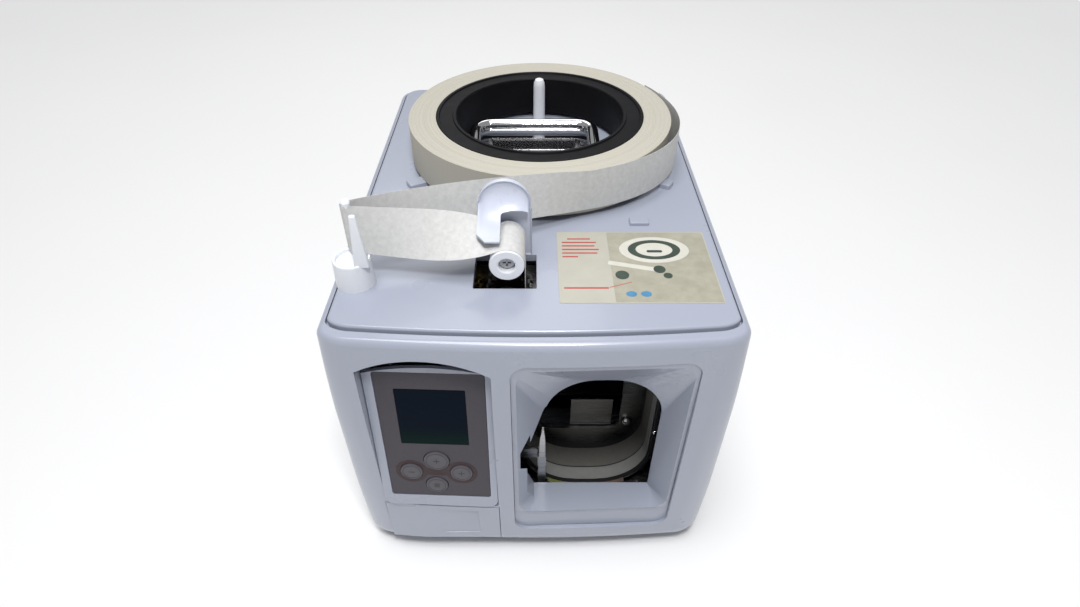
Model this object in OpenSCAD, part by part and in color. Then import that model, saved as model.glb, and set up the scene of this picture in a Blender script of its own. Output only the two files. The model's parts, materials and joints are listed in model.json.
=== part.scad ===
/* [Casing] */
// Greatest width of the casing, across its bulging sides
body_w = 203; // [195:1:210]
// Greatest depth of the casing
body_d = 283; // [275:1:300]
// Height of the lid's top face above the table
lid_z = 177; // [174:1:190]
// Height of the rubber feet
foot_h = 5; // [3:0.5:8]
// Wall of the casing
wall = 2.6; // [2:0.1:3]
// Radius of the bulge of the four sides, seen level
bulge_r = 1300; // [1100:50:2000]
// Height of the widest point of the bulge
bulge_z = 90; // [84:1:96]
// Radius of the front's bow, seen from above
bow_r = 900; // [800:50:2000]
// Radius of the casing's upright corners
corner_r = 16; // [12:1:20]
// Radius of the casing's bottom edge
bottom_r = 13; // [10:1:16]
// Radius of the casing's top edge
rim_r = 4; // [2:0.5:5]

/* [Lid] */
// Thickness of the lid
lid_t = 2.5; // [2:0.1:3]
// Width of the casing's rim beside the lid
lid_inset = 3.4; // [3:0.1:5]
// Depth of the casing's rim in front of the lid
lid_front_inset = 7; // [6:0.5:9]
// Gap around the lid
lid_gap = 0.6; // [0.3:0.1:1]
// Width of the tape window
window_w = 30.7; // [28:0.1:34]
// Depth of the tape window
window_d = 27; // [26:0.5:30]

/* [Tape and roll] */
// Width of the paper tape
tape_w = 24; // [18:1:25]
// Thickness of the paper tape, drawn thick enough to build
tape_t = 0.3; // [0.2:0.05:0.4]
// Distance of the tape's middle line behind the front
tape_in = 54; // [53.5:0.5:54.5]
// Outer radius of the tape roll
roll_r = 80; // [70:1:81]
// Outer radius of the core, where the paper begins
core_r = 63.5; // [60:0.5:66]
// Inner radius of the core
core_in_r = 51; // [50.5:0.5:54]
// Sideways place of the roll's centre
roll_x = 3.5; // [2:0.5:5]
// Place of the roll's centre, front to back
roll_y = 37; // [36:0.5:39]
// Height of the ribs that the roll lies on
rib_h = 3; // [2:0.5:4]

/* [Tape guides] */
// Radius of the guide roller
roller_r = 8.4; // [7.5:0.1:8.6]
// Sideways place of the guide roller's axis
roller_x = -12.8; // [-13.5:0.1:-12]
// Height of the guide roller's axis above the lid
roller_h = 13; // [12:0.5:15]
// Radius of the guide post's cup
post_cup_r = 9.6; // [8:0.1:10]
// Height of the guide post's cup
post_cup_h = 14.5; // [10:0.5:14.5]
// Distance of the guide post from the casing's left side
post_in = 15.5; // [14.5:0.5:16.5]
// Distance of the guide post's pin in front of the tape's middle line
post_ahead = 1; // [0:0.5:2.5]

/* [Carry handle] */
// Outer width of the bail
bail_w = 83; // [80:1:84]
// Diameter of the bail's bar
bail_d = 8; // [6:0.5:8]
// Reach of the bail from its pivot to the middle of its bar
bail_reach = 38; // [34:1:38]
// Front to back place of the bail's pivot
bail_y = 20; // [19:0.5:22]
// Depth of the chrome dish under the bail
dish_depth = 8; // [5:0.5:10]

/* [Control panel] */
// Width of the panel's bezel
panel_w = 63; // [60:0.5:63.5]
// Lean of the panel from upright, in degrees
panel_tilt = 6; // [4:0.5:7]
// Height of the bezel's lower edge
panel_low = 51.5; // [51:0.5:53]
// Diameter of the upper key
key_top_d = 13.5; // [12:0.5:14]
// Diameter of the other three keys
key_d = 11.8; // [10:0.2:12]
// Travel of a key
key_travel = 0.6; // [0.3:0.1:0.8]

/* [Note inlet] */
// Left edge of the inlet's mouth
inlet_left = -11; // [-11.5:0.5:-10.5]
// Right edge of the inlet's mouth
inlet_right = 77.7; // [77:0.1:78.5]
// Lower edge of the inlet's mouth
inlet_low = 25.7; // [25:0.1:27]
// Upper edge of the inlet's mouth
inlet_high = 162.5; // [160:0.5:163]
// Height of the sill that the notes pass over
sill_z = 43; // [42:0.5:44]
// Depth of the inlet's funnel
funnel_d = 19; // [18:0.5:19.5]

/* [Strapping mechanism] */
// Thickness of the two mechanism plates
plate_t = 2; // [1.5:0.1:2.5]
// Inner width of the track that the tape loop runs in
track_w = 75; // [73:0.5:75.5]
// Height of the track's floor
track_low = 15; // [14:0.5:16]
// Inner height of the track
track_h = 111; // [108:1:112]
// Radius of the feed roller
feed_r = 9; // [8:0.1:9.5]
// Radius of the pinch roller
pinch_r = 6; // [5:0.1:6.5]
// Height of the feed roller's axis
feed_z = 152; // [151.5:0.5:153]
// Gear tooth size: pitch diameter over number of teeth
gear_m = 1; // [0.9:0.01:1]
// Travel of the note clamp
clamp_travel = 40; // [20:1:40]

/* [Hidden] */

// Clearances
run = 0.05;      // a shaft in its bore
slip = 0.3;      // faces of different bodies
fit = 0.15;      // a piece laid in a pocket of the same body
far = 60;        // a cut that runs well past its piece
shave = 0.4;     // what the upright faces take off the crest of the bulge
edge_more = 0.5; // how much rounder the front and back bottom edges are than the side ones
fine = 96;       // facets of round pieces in the preview
broad = 720;     // facets of the very large arcs in the preview

// Casing
half_w = body_w / 2;
half_d = body_d / 2;
case_top = lid_z - 1.5;
lid_seat = lid_z - lid_t;
floor_z = foot_h + wall;
tray_t = 1.5;
tray_top = floor_z + tray_t;
foot_xs = [34.5 - half_w, half_w - 34.5];
foot_ys = [43.5 - half_d, half_d - 41.5];
base_half_w = half_w - 22.5;
foot_r = 8;
screw_r = 2;

window_x0 = -29.5;   // left edge of the tape window

// Rear panel
rear_t = 1.5;
rear_y = half_d - 7;
rear_half_w = 70;
rear_low = 20;
rear_high = 150;
rear_lip = 6;
vent_w = 4;
vent_h = 34;
vent_step = 8;
vent_n = 9;
inlet_c14 = [27.5, 20];
c14_x = rear_half_w - 24;
c14_z = 46;
switch_x = c14_x - 32;
switch_cut = [13, 19.5];
rocker_lean = -12;
fuse_x = switch_x - 22;
fuse_r = 6;

// Tape and roll
tape_y = tape_in - half_d;
post_x = post_in - half_w;
post_y = tape_y - post_ahead;
roll_low = lid_z + rib_h;
roll_high = roll_low + tape_w;
post_pin_r = 2.2;
roller_z = lid_z + roller_h;
tape_front = tape_y - tape_w / 2;
tape_back = tape_y + tape_w / 2;
wrap_r = roller_r + 0.15 + tape_t / 2;
drop_x = roller_x + wrap_r;
cut_z = 133.5;
cut_gap = 0.6;

// Control panel, in its own leaning frame: x across, u up, depth inwards
panel_y = -half_d + 0.1;
panel_mid = -51.6;
panel_left = panel_mid - panel_w / 2;
panel_right = panel_mid + panel_w / 2;
arch_r = 60;
arch_top = 167.7;
bezel_h = 101.3;
bezel_arch_r = 120;
bezel_face = 4.4;   // thickness of the bezel's front
recess_depth = 15;  // depth of the walls beside the bezel
recess_t = 1.6;
bezel_t = 13;
bezel_wall = 2.5;
board_in = 8;       // depth of the key board behind the overlay
board_t = 1.6;
overlay_t = 1.2;
overlay_w = 54.5;
overlay_h = 89;
overlay_u = 8;
window_h = 38;
window_x = -51.5;
lcd_w = 35;
lcd_u = 49;
key_u = [36.6, 27.6, 27.6, 17.4];
key_x = [-51.8, -66, -39, -53];
key_ds = [key_top_d, key_d, key_d, key_d];
key_stem = 3;

// Inlet
funnel_back = -half_d + 2.2 + funnel_d;
inlet_lip_cut = 14;  // how far the side cut-out reaches in from the left
arch_left = 5.7;
arch_right = 67.3;
arch_high = 134;

// Mechanism, front to back
rear_plate_y = tape_y + 17.5;
front_plate_y = tape_y - 18.5;
track_left = drop_x - 0.5;
track_right = track_left + track_w;
track_high = track_low + track_h;
track_t = 2;
track_front = tape_y - 14;
low_corner = 32;
high_corner = 25;
feed_x = drop_x - tape_t / 2 - run - feed_r;
pinch_x = drop_x + tape_t / 2 + run + pinch_r;
nip_front = tape_y - 10.5;
nip_back = tape_y + 7.5;
feed_shaft_r = 3;
pivot_x = 16;
pivot_z = feed_z + 9;
pivot_r = 3;
side_in = 9.5;    // from the casing's side to the plates' edge
plate_left = side_in - half_w;
plate_right = half_w - 21.5;
plate_low = 24;
plate_high = lid_seat - 7.5;
cam_x = plate_left + 16;
cam_z = 127;
cam_shaft_r = 4;
cam_teeth = 30;
feed_teeth = 24;
pinion_teeth = 12;
gear_t = 3.6;
gear_y = rear_plate_y - gear_t - 1.2;
cam_pinion_z = cam_z - gear_m * (cam_teeth + pinion_teeth) / 2;
feed_pinion_x = feed_x - gear_m * (feed_teeth + pinion_teeth) / 2;
motor_shaft_r = 1.5;
head_z = 121;
head_y = tape_y - 5.5;
cutter_y = tape_y + 5.5;
rod_r = 3;
cam_reach = 15;
pad_x = cam_x + cam_reach + 0.5;
block_x = -46;
block_w = 8;
clamp_z = 60;
clamp_y = front_plate_y - 6;
clamp_guide_x = -42;   // left face of the clamp's guide
spacer_in = 4;    // from a plate's edge to its outer spacers
spacer_low = 66;
spacer_high = 160;
spacer_spots = [[plate_left + spacer_in, spacer_low], [-24, spacer_low],
    [plate_left + spacer_in, spacer_high], [plate_left + 36, spacer_high], [60, spacer_high]];
spacer_r = 4;
stud_r = 1.5;

// Carry handle
bail_z = lid_z + 8;
bail_leg = bail_w / 2 - bail_d / 2;
bail_turn = 10;   // radius of the bail's two bends
hinge_r = 2;
eye_r = 5;
ear_t = 2;
ear_x = bail_leg - bail_d / 2 - slip - ear_t;
dish_w = bail_w - 10;
dish_front = bail_y - 4;
dish_back = bail_y + 37;
dish_rim = 5.3;   // width of the dish's flat rim
dish_t = 1;

// Tape guides
guide_plate_y = tape_back + 2.2;
guide_plate_t = 2;
guide_left = -27.4;
guide_right = -1;
guide_rim = 1.2;
guide_screw_r = 1.5;
shield_w = 10.4;
shield_t = 1.5;
shield = [[0.5, 31], [-0.8, 30.4], [-2.8, 28.2], [-5.5, 26.7], [-10, 25.2], [-24.5, 23.1]];

// Panel fixings
rear_screw_in = 3;  // from the rear panel's edge to its screws
arch_corner = 27;   // radius of the arch's two upper corners

// The tape is a chain of stations: middle point, and the unit direction across its width
tape_mid = roll_low + 2 + tape_w / 2;
leave_a = -72.4;  // where the tape runs off the roll, in degrees round it
peel_a = 30;      // where the last turn comes loose
hug_n = 14;
hug_gap = 0.5;    // least distance of the loose turn from the roll
hug_bulge = 4.5;  // how far the loose turn stands out in its middle
hug = [for (i = [0:hug_n]) let (f = i / hug_n, a = peel_a + (leave_a - peel_a) * f,
        r = roll_r + hug_gap * (1 + f) + hug_bulge * pow(sin(180 * f), 2))
    [[roll_x + r * cos(a), roll_y + r * sin(a), tape_mid - 2 + 2.5 * f], [0, 0, 1]]];
pin_r = post_pin_r + 0.5 + tape_t / 2;
pin_mid = lid_z + post_cup_h + 1 + tape_w / 2;
turn_n = 6;
turn_pts = [for (i = [0:turn_n]) let (a = 110 + 155 * i / turn_n)
    [[post_x + pin_r * cos(a), post_y + pin_r * sin(a), pin_mid], [0, 0, 1]]];
run_in = [for (i = [1:5]) let (f = i / 6, p = hug[hug_n][0], q = turn_pts[0][0])
    [p + (q - p) * f, [0, 0, 1]]];
land_dx = 4;      // how far before the roller's crown the tape meets it
land = [roller_x - land_dx, tape_y, roller_z + sqrt(pow(wrap_r, 2) - pow(land_dx, 2))];
twist_n = 10;
twist_sag = 3;
twist_pts = [for (i = [1:twist_n - 1]) let (f = i / twist_n, g = pow(f, 2.6), p = turn_pts[turn_n][0])
    [p + (land - p) * f - [0, 0, twist_sag * sin(180 * f)], [0, sin(90 * g), cos(90 * g)]]];
over_n = 6;
over = [for (i = [0:over_n]) let (a = acos(-land_dx / wrap_r) * (1 - i / over_n))
    [[roller_x + wrap_r * cos(a), tape_y, roller_z + wrap_r * sin(a)], [0, 1, 0]]];
down = [[[drop_x, tape_y, cut_z + cut_gap], [0, 1, 0]]];
span_stations = concat(hug, run_in, turn_pts, twist_pts, over, down);

// ---------- shared shapes ----------
module round_rect(w, d, r) {
    square([w - 2 * r, d], center = true);
    square([w, d - 2 * r], center = true);
    for (x = [-1, 1], y = [-1, 1]) translate([x * (w / 2 - r), y * (d / 2 - r)]) circle(r, $fn = 48);
}

// A rounded box between two corners, rounded as seen from above
module round_box(low, high, r) {
    size = high - low;
    translate([low[0] + size[0] / 2, low[1] + size[1] / 2, low[2]])
        linear_extrude(size[2]) round_rect(size[0], size[1], r);
}

// A flat profile in x and z, thickened from y towards the back
module upright(y, t) { translate([0, y + t, 0]) rotate([90, 0, 0]) linear_extrude(t) children(); }

module rod(x, z, r, y0, y1) {
    translate([x, y0, z]) rotate([-90, 0, 0]) cylinder(r = r, h = y1 - y0, $fn = fine);
}

// A level rod from left to right
module cross_rod(y, z, r, x0, x1) {
    translate([x0, y, z]) rotate([0, 90, 0]) cylinder(r = r, h = x1 - x0, $fn = fine);
}

module block(low, high) { translate(low) cube(high - low); }

// Bulging side profile: half is the half width at the bulge, across and up
module bulge_profile(half, low, high, r_low, r_high) {
    difference() {
        intersection() {
            translate([half - bulge_r, bulge_z]) circle(bulge_r, $fn = broad);
            translate([bulge_r - half, bulge_z]) circle(bulge_r, $fn = broad);
            translate([-half, low]) square([2 * half, high - low]);
        }
        for (s = [0, 1]) mirror([s, 0]) {
            if (r_low > 0) edge_cut(half, low, r_low, 1);
            if (r_high > 0) edge_cut(half, high, r_high, -1);
        }
    }
}

// What a rounded edge takes off the bulging profile; up is 1 at a bottom edge and -1 at a top edge
module edge_cut(half, z, r, up) {
    zc = z + up * r;
    xc = half - bulge_r + sqrt(pow(bulge_r - r, 2) - pow(zc - bulge_z, 2));
    zt = bulge_z + (zc - bulge_z) * bulge_r / (bulge_r - r);
    difference() {
        translate([xc, min(z - up * 2, zt)]) square([4 * r, abs(zt - z + up * 2)]);
        translate([xc, zc]) circle(r, $fn = 64);
    }
}

// Outline from above, drawn in from the casing's own by inset
module plan_outline(inset, front_inset) {
    intersection() {
        translate([0, (front_inset - inset) / 2])
            round_rect(body_w - 2 * inset, body_d - inset - front_inset, corner_r - min(inset, 6));
        translate([0, bow_r - half_d]) circle(bow_r - front_inset, $fn = broad);
    }
}

// The casing's form, drawn in by inset, from one height to another
module form(inset, low, high, r_low, r_high, front_inset = -1) {
    front = front_inset < 0 ? inset : front_inset;
    intersection() {
        translate([0, 0, low - 1]) linear_extrude(high - low + 2) plan_outline(inset, front);
        translate([0, half_d + 1, 0]) rotate([90, 0, 0]) linear_extrude(body_d + 2)
            bulge_profile(half_w + shave - inset, low, high, r_low, r_high);
        translate([-half_w - 1, 0, 0]) rotate([90, 0, 90]) linear_extrude(body_w + 2)
            bulge_profile(half_d + shave - inset, low, high, r_low + (r_low > 0 ? edge_more : 0), r_high);
    }
}

// The room inside the casing
module cavity() { form(wall, floor_z, lid_seat - wall, bottom_r - 3, 0); }

// Involute spur gear profile
function involute(base, a) = let (b = a * PI / 180)
    [base * (cos(a) + b * sin(a)), base * (sin(a) - b * cos(a))];
function turned(p, a) = [p[0] * cos(a) - p[1] * sin(a), p[0] * sin(a) + p[1] * cos(a)];
module gear_outline(teeth, backlash = 0.22) {
    pitch = gear_m * teeth / 2;
    base = pitch * cos(20);
    root = pitch - 1.25 * gear_m;
    tip_a = sqrt(pow((pitch + 0.9 * gear_m) / base, 2) - 1) * 180 / PI;
    pitch_a = sqrt(pow(pitch / base, 2) - 1) * 180 / PI;
    lead = atan2(involute(base, pitch_a)[1], involute(base, pitch_a)[0]);
    half_tooth = 90 / teeth - backlash / pitch * 45 / PI;
    flank = [for (i = [0:4]) turned(involute(base, tip_a * i / 4), -lead - half_tooth)];
    circle(root + 0.05, $fn = fine);
    for (n = [0:teeth - 1]) rotate(n * 360 / teeth)
        polygon(concat([[0, 0]], flank, [for (i = [4:-1:0]) [flank[i][0], -flank[i][1]]]));
}

// ---------- casing ----------
module panel_outline(gap) {
    half = panel_w / 2 + gap;
    translate([panel_mid - half, 0]) square([2 * half, arch_top - arch_r]);
    intersection() {
        translate([panel_mid, arch_top - arch_r]) circle(arch_r + gap, $fn = fine);
        translate([panel_mid - half, arch_top - arch_r - 0.01]) square([2 * half, arch_r + 1]);
    }
}

module cover_box(gap) {
    block([panel_left - 1.2 - gap, -half_d - 2, 14 - gap],
        [panel_right + 0.3 + gap, -half_d + 16, 49.4 + gap]);
}

module mouth_outline(gap) {
    translate([(inlet_left + inlet_right) / 2, (inlet_low + inlet_high) / 2])
        round_rect(inlet_right - inlet_left + 2 * gap, inlet_high - inlet_low + 2 * gap, 8 + gap);
}

module casing() {
    color("gainsboro") difference() {
        union() {
            difference() {
                form(0, foot_h, case_top, bottom_r, rim_r);
                cavity();
            }
            // frame round the rear panel, and the walls beside the bezel
            intersection() {
                form(0, foot_h, case_top, bottom_r, rim_r);
                union() {
                    block([-rear_half_w - 3, rear_y - 3, rear_low - 3],
                        [rear_half_w + 3, half_d + 1, rear_high + 3]);
                    for (x = [panel_left - slip - recess_t, panel_right + slip])
                        block([x, -half_d, panel_low - 1.4],
                            [x + recess_t, recess_depth - half_d, arch_top - 12]);
                }
            }
        }
        // rebate and opening for the lid
        translate([0, 0, lid_seat]) linear_extrude(far) lid_outline(-lid_gap);
        translate([0, 0, lid_seat - far / 2]) linear_extrude(far) lid_outline(4.5);
        // opening over the base plate
        block([-54, foot_ys[0] + 12, 0], [54, foot_ys[1] - 12, floor_z + 1]);
        for (x = foot_xs, y = foot_ys) translate([x, y, 0]) cylinder(r = screw_r + 0.2, h = 20, $fn = fine);
        // rear panel's pocket and opening
        block([-rear_half_w - fit, rear_y, rear_low - fit], [rear_half_w + fit, half_d + 5, rear_high + fit]);
        block([-rear_half_w + rear_lip, rear_y - 10, rear_low + rear_lip],
            [rear_half_w - rear_lip, half_d, rear_high - rear_lip]);
        for (x = [-1, 1], z = [rear_low + rear_screw_in, rear_high - rear_screw_in])
            rod(x * (rear_half_w - rear_screw_in), z, 1.25, rear_y - 6, rear_y + 1);
        // openings in the front
        upright(-half_d - 1, 20) intersection() {
            panel_outline(slip);
            translate([-100, panel_low - slip]) square([200, 200]);
        }
        cover_box(slip);
        upright(-half_d - 1, 20) mouth_outline(0.1);
    }
}

// Outline of the lid, drawn in by g; it follows the casing's narrower top
module lid_outline(g) {
    lean = pow(lid_z - bulge_z, 2) / 2 / bulge_r - shave;
    plan_outline(lean + lid_inset + lid_gap + g, lean + lid_front_inset + g);
}

module lid() {
    color("gainsboro") {
        difference() {
            union() {
                translate([0, 0, lid_seat]) linear_extrude(lid_t - 0.8) lid_outline(0);
                translate([0, 0, lid_z - 0.81]) linear_extrude(0.81) lid_outline(0.7);
            }
            block([window_x0, tape_y - window_d / 2, lid_seat - 1],
                [window_x0 + window_w, tape_y + window_d / 2, lid_z + 1]);
            block([-dish_w / 2 + dish_rim - slip, dish_front + dish_rim - 1 - slip, lid_seat - 1],
                [dish_w / 2 - dish_rim + slip, dish_back - dish_rim + 2 + slip, lid_z + 1]);
        }
        // ribs that the roll lies on
        for (a = [90, 210, 330]) translate([roll_x, roll_y, lid_z]) rotate(a)
            translate([core_r - 2, -4, 0]) cube([28, 8, rib_h - 0.1]);
        // lug behind the label
        block([52, tape_y + 39.5, lid_z], [62.5, tape_y + 45.5, lid_z + 2]);
    }
}

module base_plate() {
    color("silver") difference() {
        block([-base_half_w, foot_ys[0] - 12, floor_z], [base_half_w, foot_ys[1] + 12, tray_top]);
        for (x = foot_xs, y = foot_ys) translate([x, y, 0]) cylinder(r = screw_r + run, h = 20, $fn = fine);
        for (x = [-40:10:40]) round_box([x - 2, 70, 0], [x + 2, 95, 20], 1.9);
    }
}

module feet() {
    color("dimgray") for (x = foot_xs, y = foot_ys) translate([x, y, 0]) difference() {
        cylinder(r = foot_r, h = foot_h, $fn = fine);
        translate([0, 0, -1]) cylinder(r = screw_r + 2.2, h = 3, $fn = fine);
        cylinder(r = screw_r + 0.2, h = far, $fn = fine);
    }
}

module foot_screws() {
    color("silver") for (x = foot_xs, y = foot_ys) translate([x, y, 2]) rotate([180, 0, 0]) {
        translate([0, 0, -12]) cylinder(r = screw_r, h = 12, $fn = fine);
        difference() {
            cylinder(r = screw_r + 1.6, h = 1.4, $fn = fine);
            cross_recess(0.7, 1.4);
        }
    }
}

// Crossed slot in the top of a screw head that is h high
module cross_recess(depth, h, w = 0.6, l = 3) {
    for (a = [0, 90]) rotate(a) translate([-l / 2, -w / 2, h - depth]) cube([l, w, depth + 1]);
}

module rear_panel() {
    color("silver") difference() {
        block([-rear_half_w, rear_y, rear_low], [rear_half_w, rear_y + rear_t, rear_high]);
        for (x = [-1, 1], z = [rear_low + rear_screw_in, rear_high - rear_screw_in])
            rod(x * (rear_half_w - rear_screw_in), z, 1.6, rear_y - 1, rear_y + 3);
        upright(rear_y - 1, 5) for (n = [0:vent_n - 1])
            translate([(n - (vent_n - 1) / 2) * vent_step, 116])
                round_rect(vent_w, vent_h, vent_w / 2 - 0.05);
        upright(rear_y - 1, 5) translate([c14_x, c14_z]) round_rect(inlet_c14[0], inlet_c14[1], 3);
        upright(rear_y - 1, 5) translate([switch_x, c14_z]) square(switch_cut, center = true);
        rod(fuse_x, c14_z, fuse_r + fit, rear_y - 1, rear_y + 4);
    }
}

module rear_screws() {
    color("silver") for (x = [-1, 1], z = [rear_low + rear_screw_in, rear_high - rear_screw_in])
        translate([x * (rear_half_w - rear_screw_in), rear_y + rear_t, z]) rotate([-90, 0, 0]) {
            translate([0, 0, -6]) cylinder(r = 1.2, h = 6, $fn = fine);
            difference() {
                cylinder(r = 2.6, h = 1.3, $fn = fine);
                cross_recess(0.7, 1.3);
            }
        }
}

// ---------- control panel ----------
module leaning() { translate([0, panel_y, panel_low]) rotate([-panel_tilt, 0, 0]) children(); }

// A flat profile in the panel's own frame, from depth d0 inwards to d1
module panel_slab(d0, d1) { translate([0, d1, 0]) rotate([90, 0, 0]) linear_extrude(d1 - d0) children(); }

module bezel_outline() {
    r = 5;
    intersection() {
        translate([panel_mid, bezel_h - bezel_arch_r]) circle(bezel_arch_r, $fn = 2 * fine);
        union() {
            translate([panel_left, r]) square([panel_w, 2 * far]);
            translate([panel_left + r, 0]) square([panel_w - 2 * r, r + 1]);
            for (x = [panel_left + r, panel_right - r]) translate([x, r]) circle(r, $fn = 48);
        }
    }
}

module overlay_outline(gap) {
    translate([panel_mid + 0.4, overlay_u + overlay_h / 2])
        round_rect(overlay_w + 2 * gap, overlay_h + 2 * gap, 1.5);
}

module lcd_outline(gap) {
    translate([window_x, lcd_u + window_h / 2]) square([lcd_w + 2 * gap, window_h + 2 * gap], center = true);
}

module control_bezel() {
    color("gainsboro") leaning() difference() {
        panel_slab(0, bezel_t) bezel_outline();
        // its lower face is level
        rotate([panel_tilt, 0, 0]) translate([-100, -far, -far]) cube([200, 2 * far, far]);
        panel_slab(-1, overlay_t + 0.1) overlay_outline(fit);
        panel_slab(0, bezel_t + 1) lcd_outline(-2);
        for (i = [0:3]) translate([key_x[i], -1, key_u[i]]) rotate([-90, 0, 0])
            cylinder(r = key_stem + run, h = far, $fn = fine);
        for (i = [0:3]) translate([key_x[i], 0, key_u[i]]) rotate([-90, 0, 0])
            cylinder(r = key_ds[i] / 2 + slip, h = overlay_t + key_travel + 1.2, $fn = fine);
        translate([panel_left + bezel_wall, bezel_face, bezel_wall])
            cube([panel_w - 2 * bezel_wall, far, 88]);
        // its top is thin, so that the slot above it is open
        translate([panel_left - 1, bezel_face, bezel_h - 8]) cube([panel_w + 2, far, far]);
    }
}

module keypad_overlay() {
    color("dimgray") leaning() difference() {
        panel_slab(0.1, overlay_t + 0.1) overlay_outline(0);
        panel_slab(-1, 3) lcd_outline(fit);
        for (i = [0:3]) translate([key_x[i], -1, key_u[i]]) rotate([-90, 0, 0])
            cylinder(r = key_ds[i] / 2 + slip, h = 5, $fn = fine);
    }
}

module display_window() {
    color("midnightblue") leaning() panel_slab(0.3, overlay_t + 0.1) lcd_outline(0);
}

module display_module() {
    color("darkgreen") leaning() {
        translate([window_x - 20, overlay_t + 3.4, lcd_u - 3]) cube([40, board_t, 44]);
        translate([window_x - lcd_w / 2 + 2.2, overlay_t + 0.2, lcd_u + 2.2])
            cube([lcd_w - 4.4, 3.3, window_h - 4.4]);
    }
}

module keypad_board() {
    color("darkgreen") leaning() translate([panel_left + bezel_wall + fit, overlay_t + board_in, 6])
        cube([panel_w - 2 * (bezel_wall + fit), board_t, 38]);
}

module key(i) {
    color("gray") leaning() translate([key_x[i], 0, key_u[i]]) rotate([-90, 0, 0]) {
        translate([0, 0, -0.5]) cylinder(r = key_ds[i] / 2, h = overlay_t + 1.3, $fn = fine);
        cylinder(r = key_stem, h = overlay_t + board_in - key_travel - slip, $fn = fine);
    }
}

module key_top() { key(0); }
module key_left() { key(1); }
module key_right() { key(2); }
module key_bottom() { key(3); }

module lower_cover() {
    color("gainsboro") difference() {
        intersection() {
            cover_box(0);
            form(0, foot_h, case_top, bottom_r, rim_r);
        }
        cavity();
        block([-74.5, -half_d - 1, 21.5], [-31.7, -half_d + 1.8, 45.3]);
    }
}

// ---------- note inlet ----------
module arch_outline() {
    c = arch_corner;
    translate([arch_left, sill_z]) square([arch_right - arch_left, arch_high - c - sill_z]);
    translate([arch_left + c, arch_high - c - 0.01]) square([arch_right - arch_left - 2 * c, c + 0.01]);
    for (x = [arch_left + c, arch_right - c]) translate([x, arch_high - c]) circle(c, $fn = 64);
}

module inlet_frame() {
    front = funnel_back - funnel_d;
    color("gainsboro") difference() {
        upright(front, funnel_d) mouth_outline(-0.05);
        // the band under the sill stands a little further back
        block([-50, front - 1, 0], [100, front + 2.5, sill_z - 2]);
        // funnel
        hull() {
            upright(front - 3, 2) translate([(inlet_left + inlet_right) / 2, (sill_z - 2 + inlet_high) / 2])
                round_rect(inlet_right - inlet_left - 3.4, inlet_high - sill_z - 1.5, 8, $fn = 32);
            upright(funnel_back - 1.2, 0.2) arch_outline();
        }
        upright(funnel_back - 3, 5) arch_outline();
        // room for the clamp beside the arch
        upright(front + 6, 30)
            polygon([[arch_left, 114], [-9, 80], [-9, 57], [-4.2, 54], [0, sill_z], [9, sill_z], [9, 114]]);
        translate([inlet_left - 5, 0, 0]) rotate([90, 0, 90]) linear_extrude(inlet_lip_cut)
            polygon([[funnel_back + 1, 116], [front + 1.6, 95], [front + 1.6, 82], [funnel_back + 1, 57]]);
    }
}

// ---------- carry handle ----------
module handle_dish() {
    in = dish_rim + dish_t;
    color("lightsteelblue") difference() {
        union() {
            round_box([-dish_w / 2, dish_front, lid_z], [dish_w / 2, dish_back, lid_z + dish_t], 6);
            round_box([-dish_w / 2 + dish_rim, dish_front + dish_rim - 1, lid_z - dish_depth],
                [dish_w / 2 - dish_rim, dish_back - dish_rim + 2, lid_z + dish_t / 2], 5);
        }
        round_box([-dish_w / 2 + in, dish_front + in - 1, lid_z - dish_depth + dish_t],
            [dish_w / 2 - in, dish_back - in + 2, lid_z + 5], 4);
    }
}

module handle_ears() {
    color("lightsteelblue") for (s = [0, 1]) mirror([s, 0, 0]) difference() {
        union() {
            block([ear_x, bail_y - 4, lid_z + dish_t], [ear_x + ear_t, bail_y + 4, bail_z]);
            cross_rod(bail_y, bail_z, 4, ear_x, ear_x + ear_t);
        }
        cross_rod(bail_y, bail_z, hinge_r, 0, far);
    }
}

module handle_pins() {
    color("silver") for (s = [0, 1]) mirror([s, 0, 0])
        cross_rod(bail_y, bail_z, hinge_r, ear_x, ear_x + ear_t + slip + bail_d);
}

module handle_bail() {
    color("lightsteelblue") difference() {
        union() {
            for (s = [0, 1]) mirror([s, 0, 0]) {
                translate([bail_leg, bail_y + 1, bail_z]) rotate([-90, 0, 0])
                    cylinder(r = bail_d / 2, h = bail_reach - bail_turn - 1, $fn = fine);
                translate([bail_leg - bail_turn, bail_y + bail_reach - bail_turn, bail_z])
                    rotate_extrude(angle = 90, $fn = fine)
                        translate([bail_turn, 0]) circle(bail_d / 2, $fn = 48);
                cross_rod(bail_y, bail_z, eye_r, bail_leg - 3, bail_leg + 3);
            }
            cross_rod(bail_y + bail_reach, bail_z, bail_d / 2, bail_turn - bail_leg, bail_leg - bail_turn);
        }
        cross_rod(bail_y, bail_z, hinge_r + run, -far, far);
    }
}

// ---------- roll ----------
module ring(r_out, r_in, z0, z1) {
    translate([roll_x, roll_y, z0]) difference() {
        cylinder(r = r_out, h = z1 - z0, $fn = fine);
        translate([0, 0, -1]) cylinder(r = r_in, h = z1 - z0 + 2, $fn = fine);
    }
}

module roll_core() { color("black") ring(core_r, core_in_r, roll_low, roll_high); }
module tape_roll() { color("ivory") ring(roll_r, core_r + 0.02, roll_low, roll_high); }

module roll_post() {
    y = roll_y + core_in_r - 7;
    r = 4;
    color("white") translate([0, y, lid_z]) {
        cylinder(r = r, h = tape_w + 2, $fn = fine);
        translate([0, 0, tape_w + 2]) sphere(r, $fn = fine);
    }
}

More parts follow.
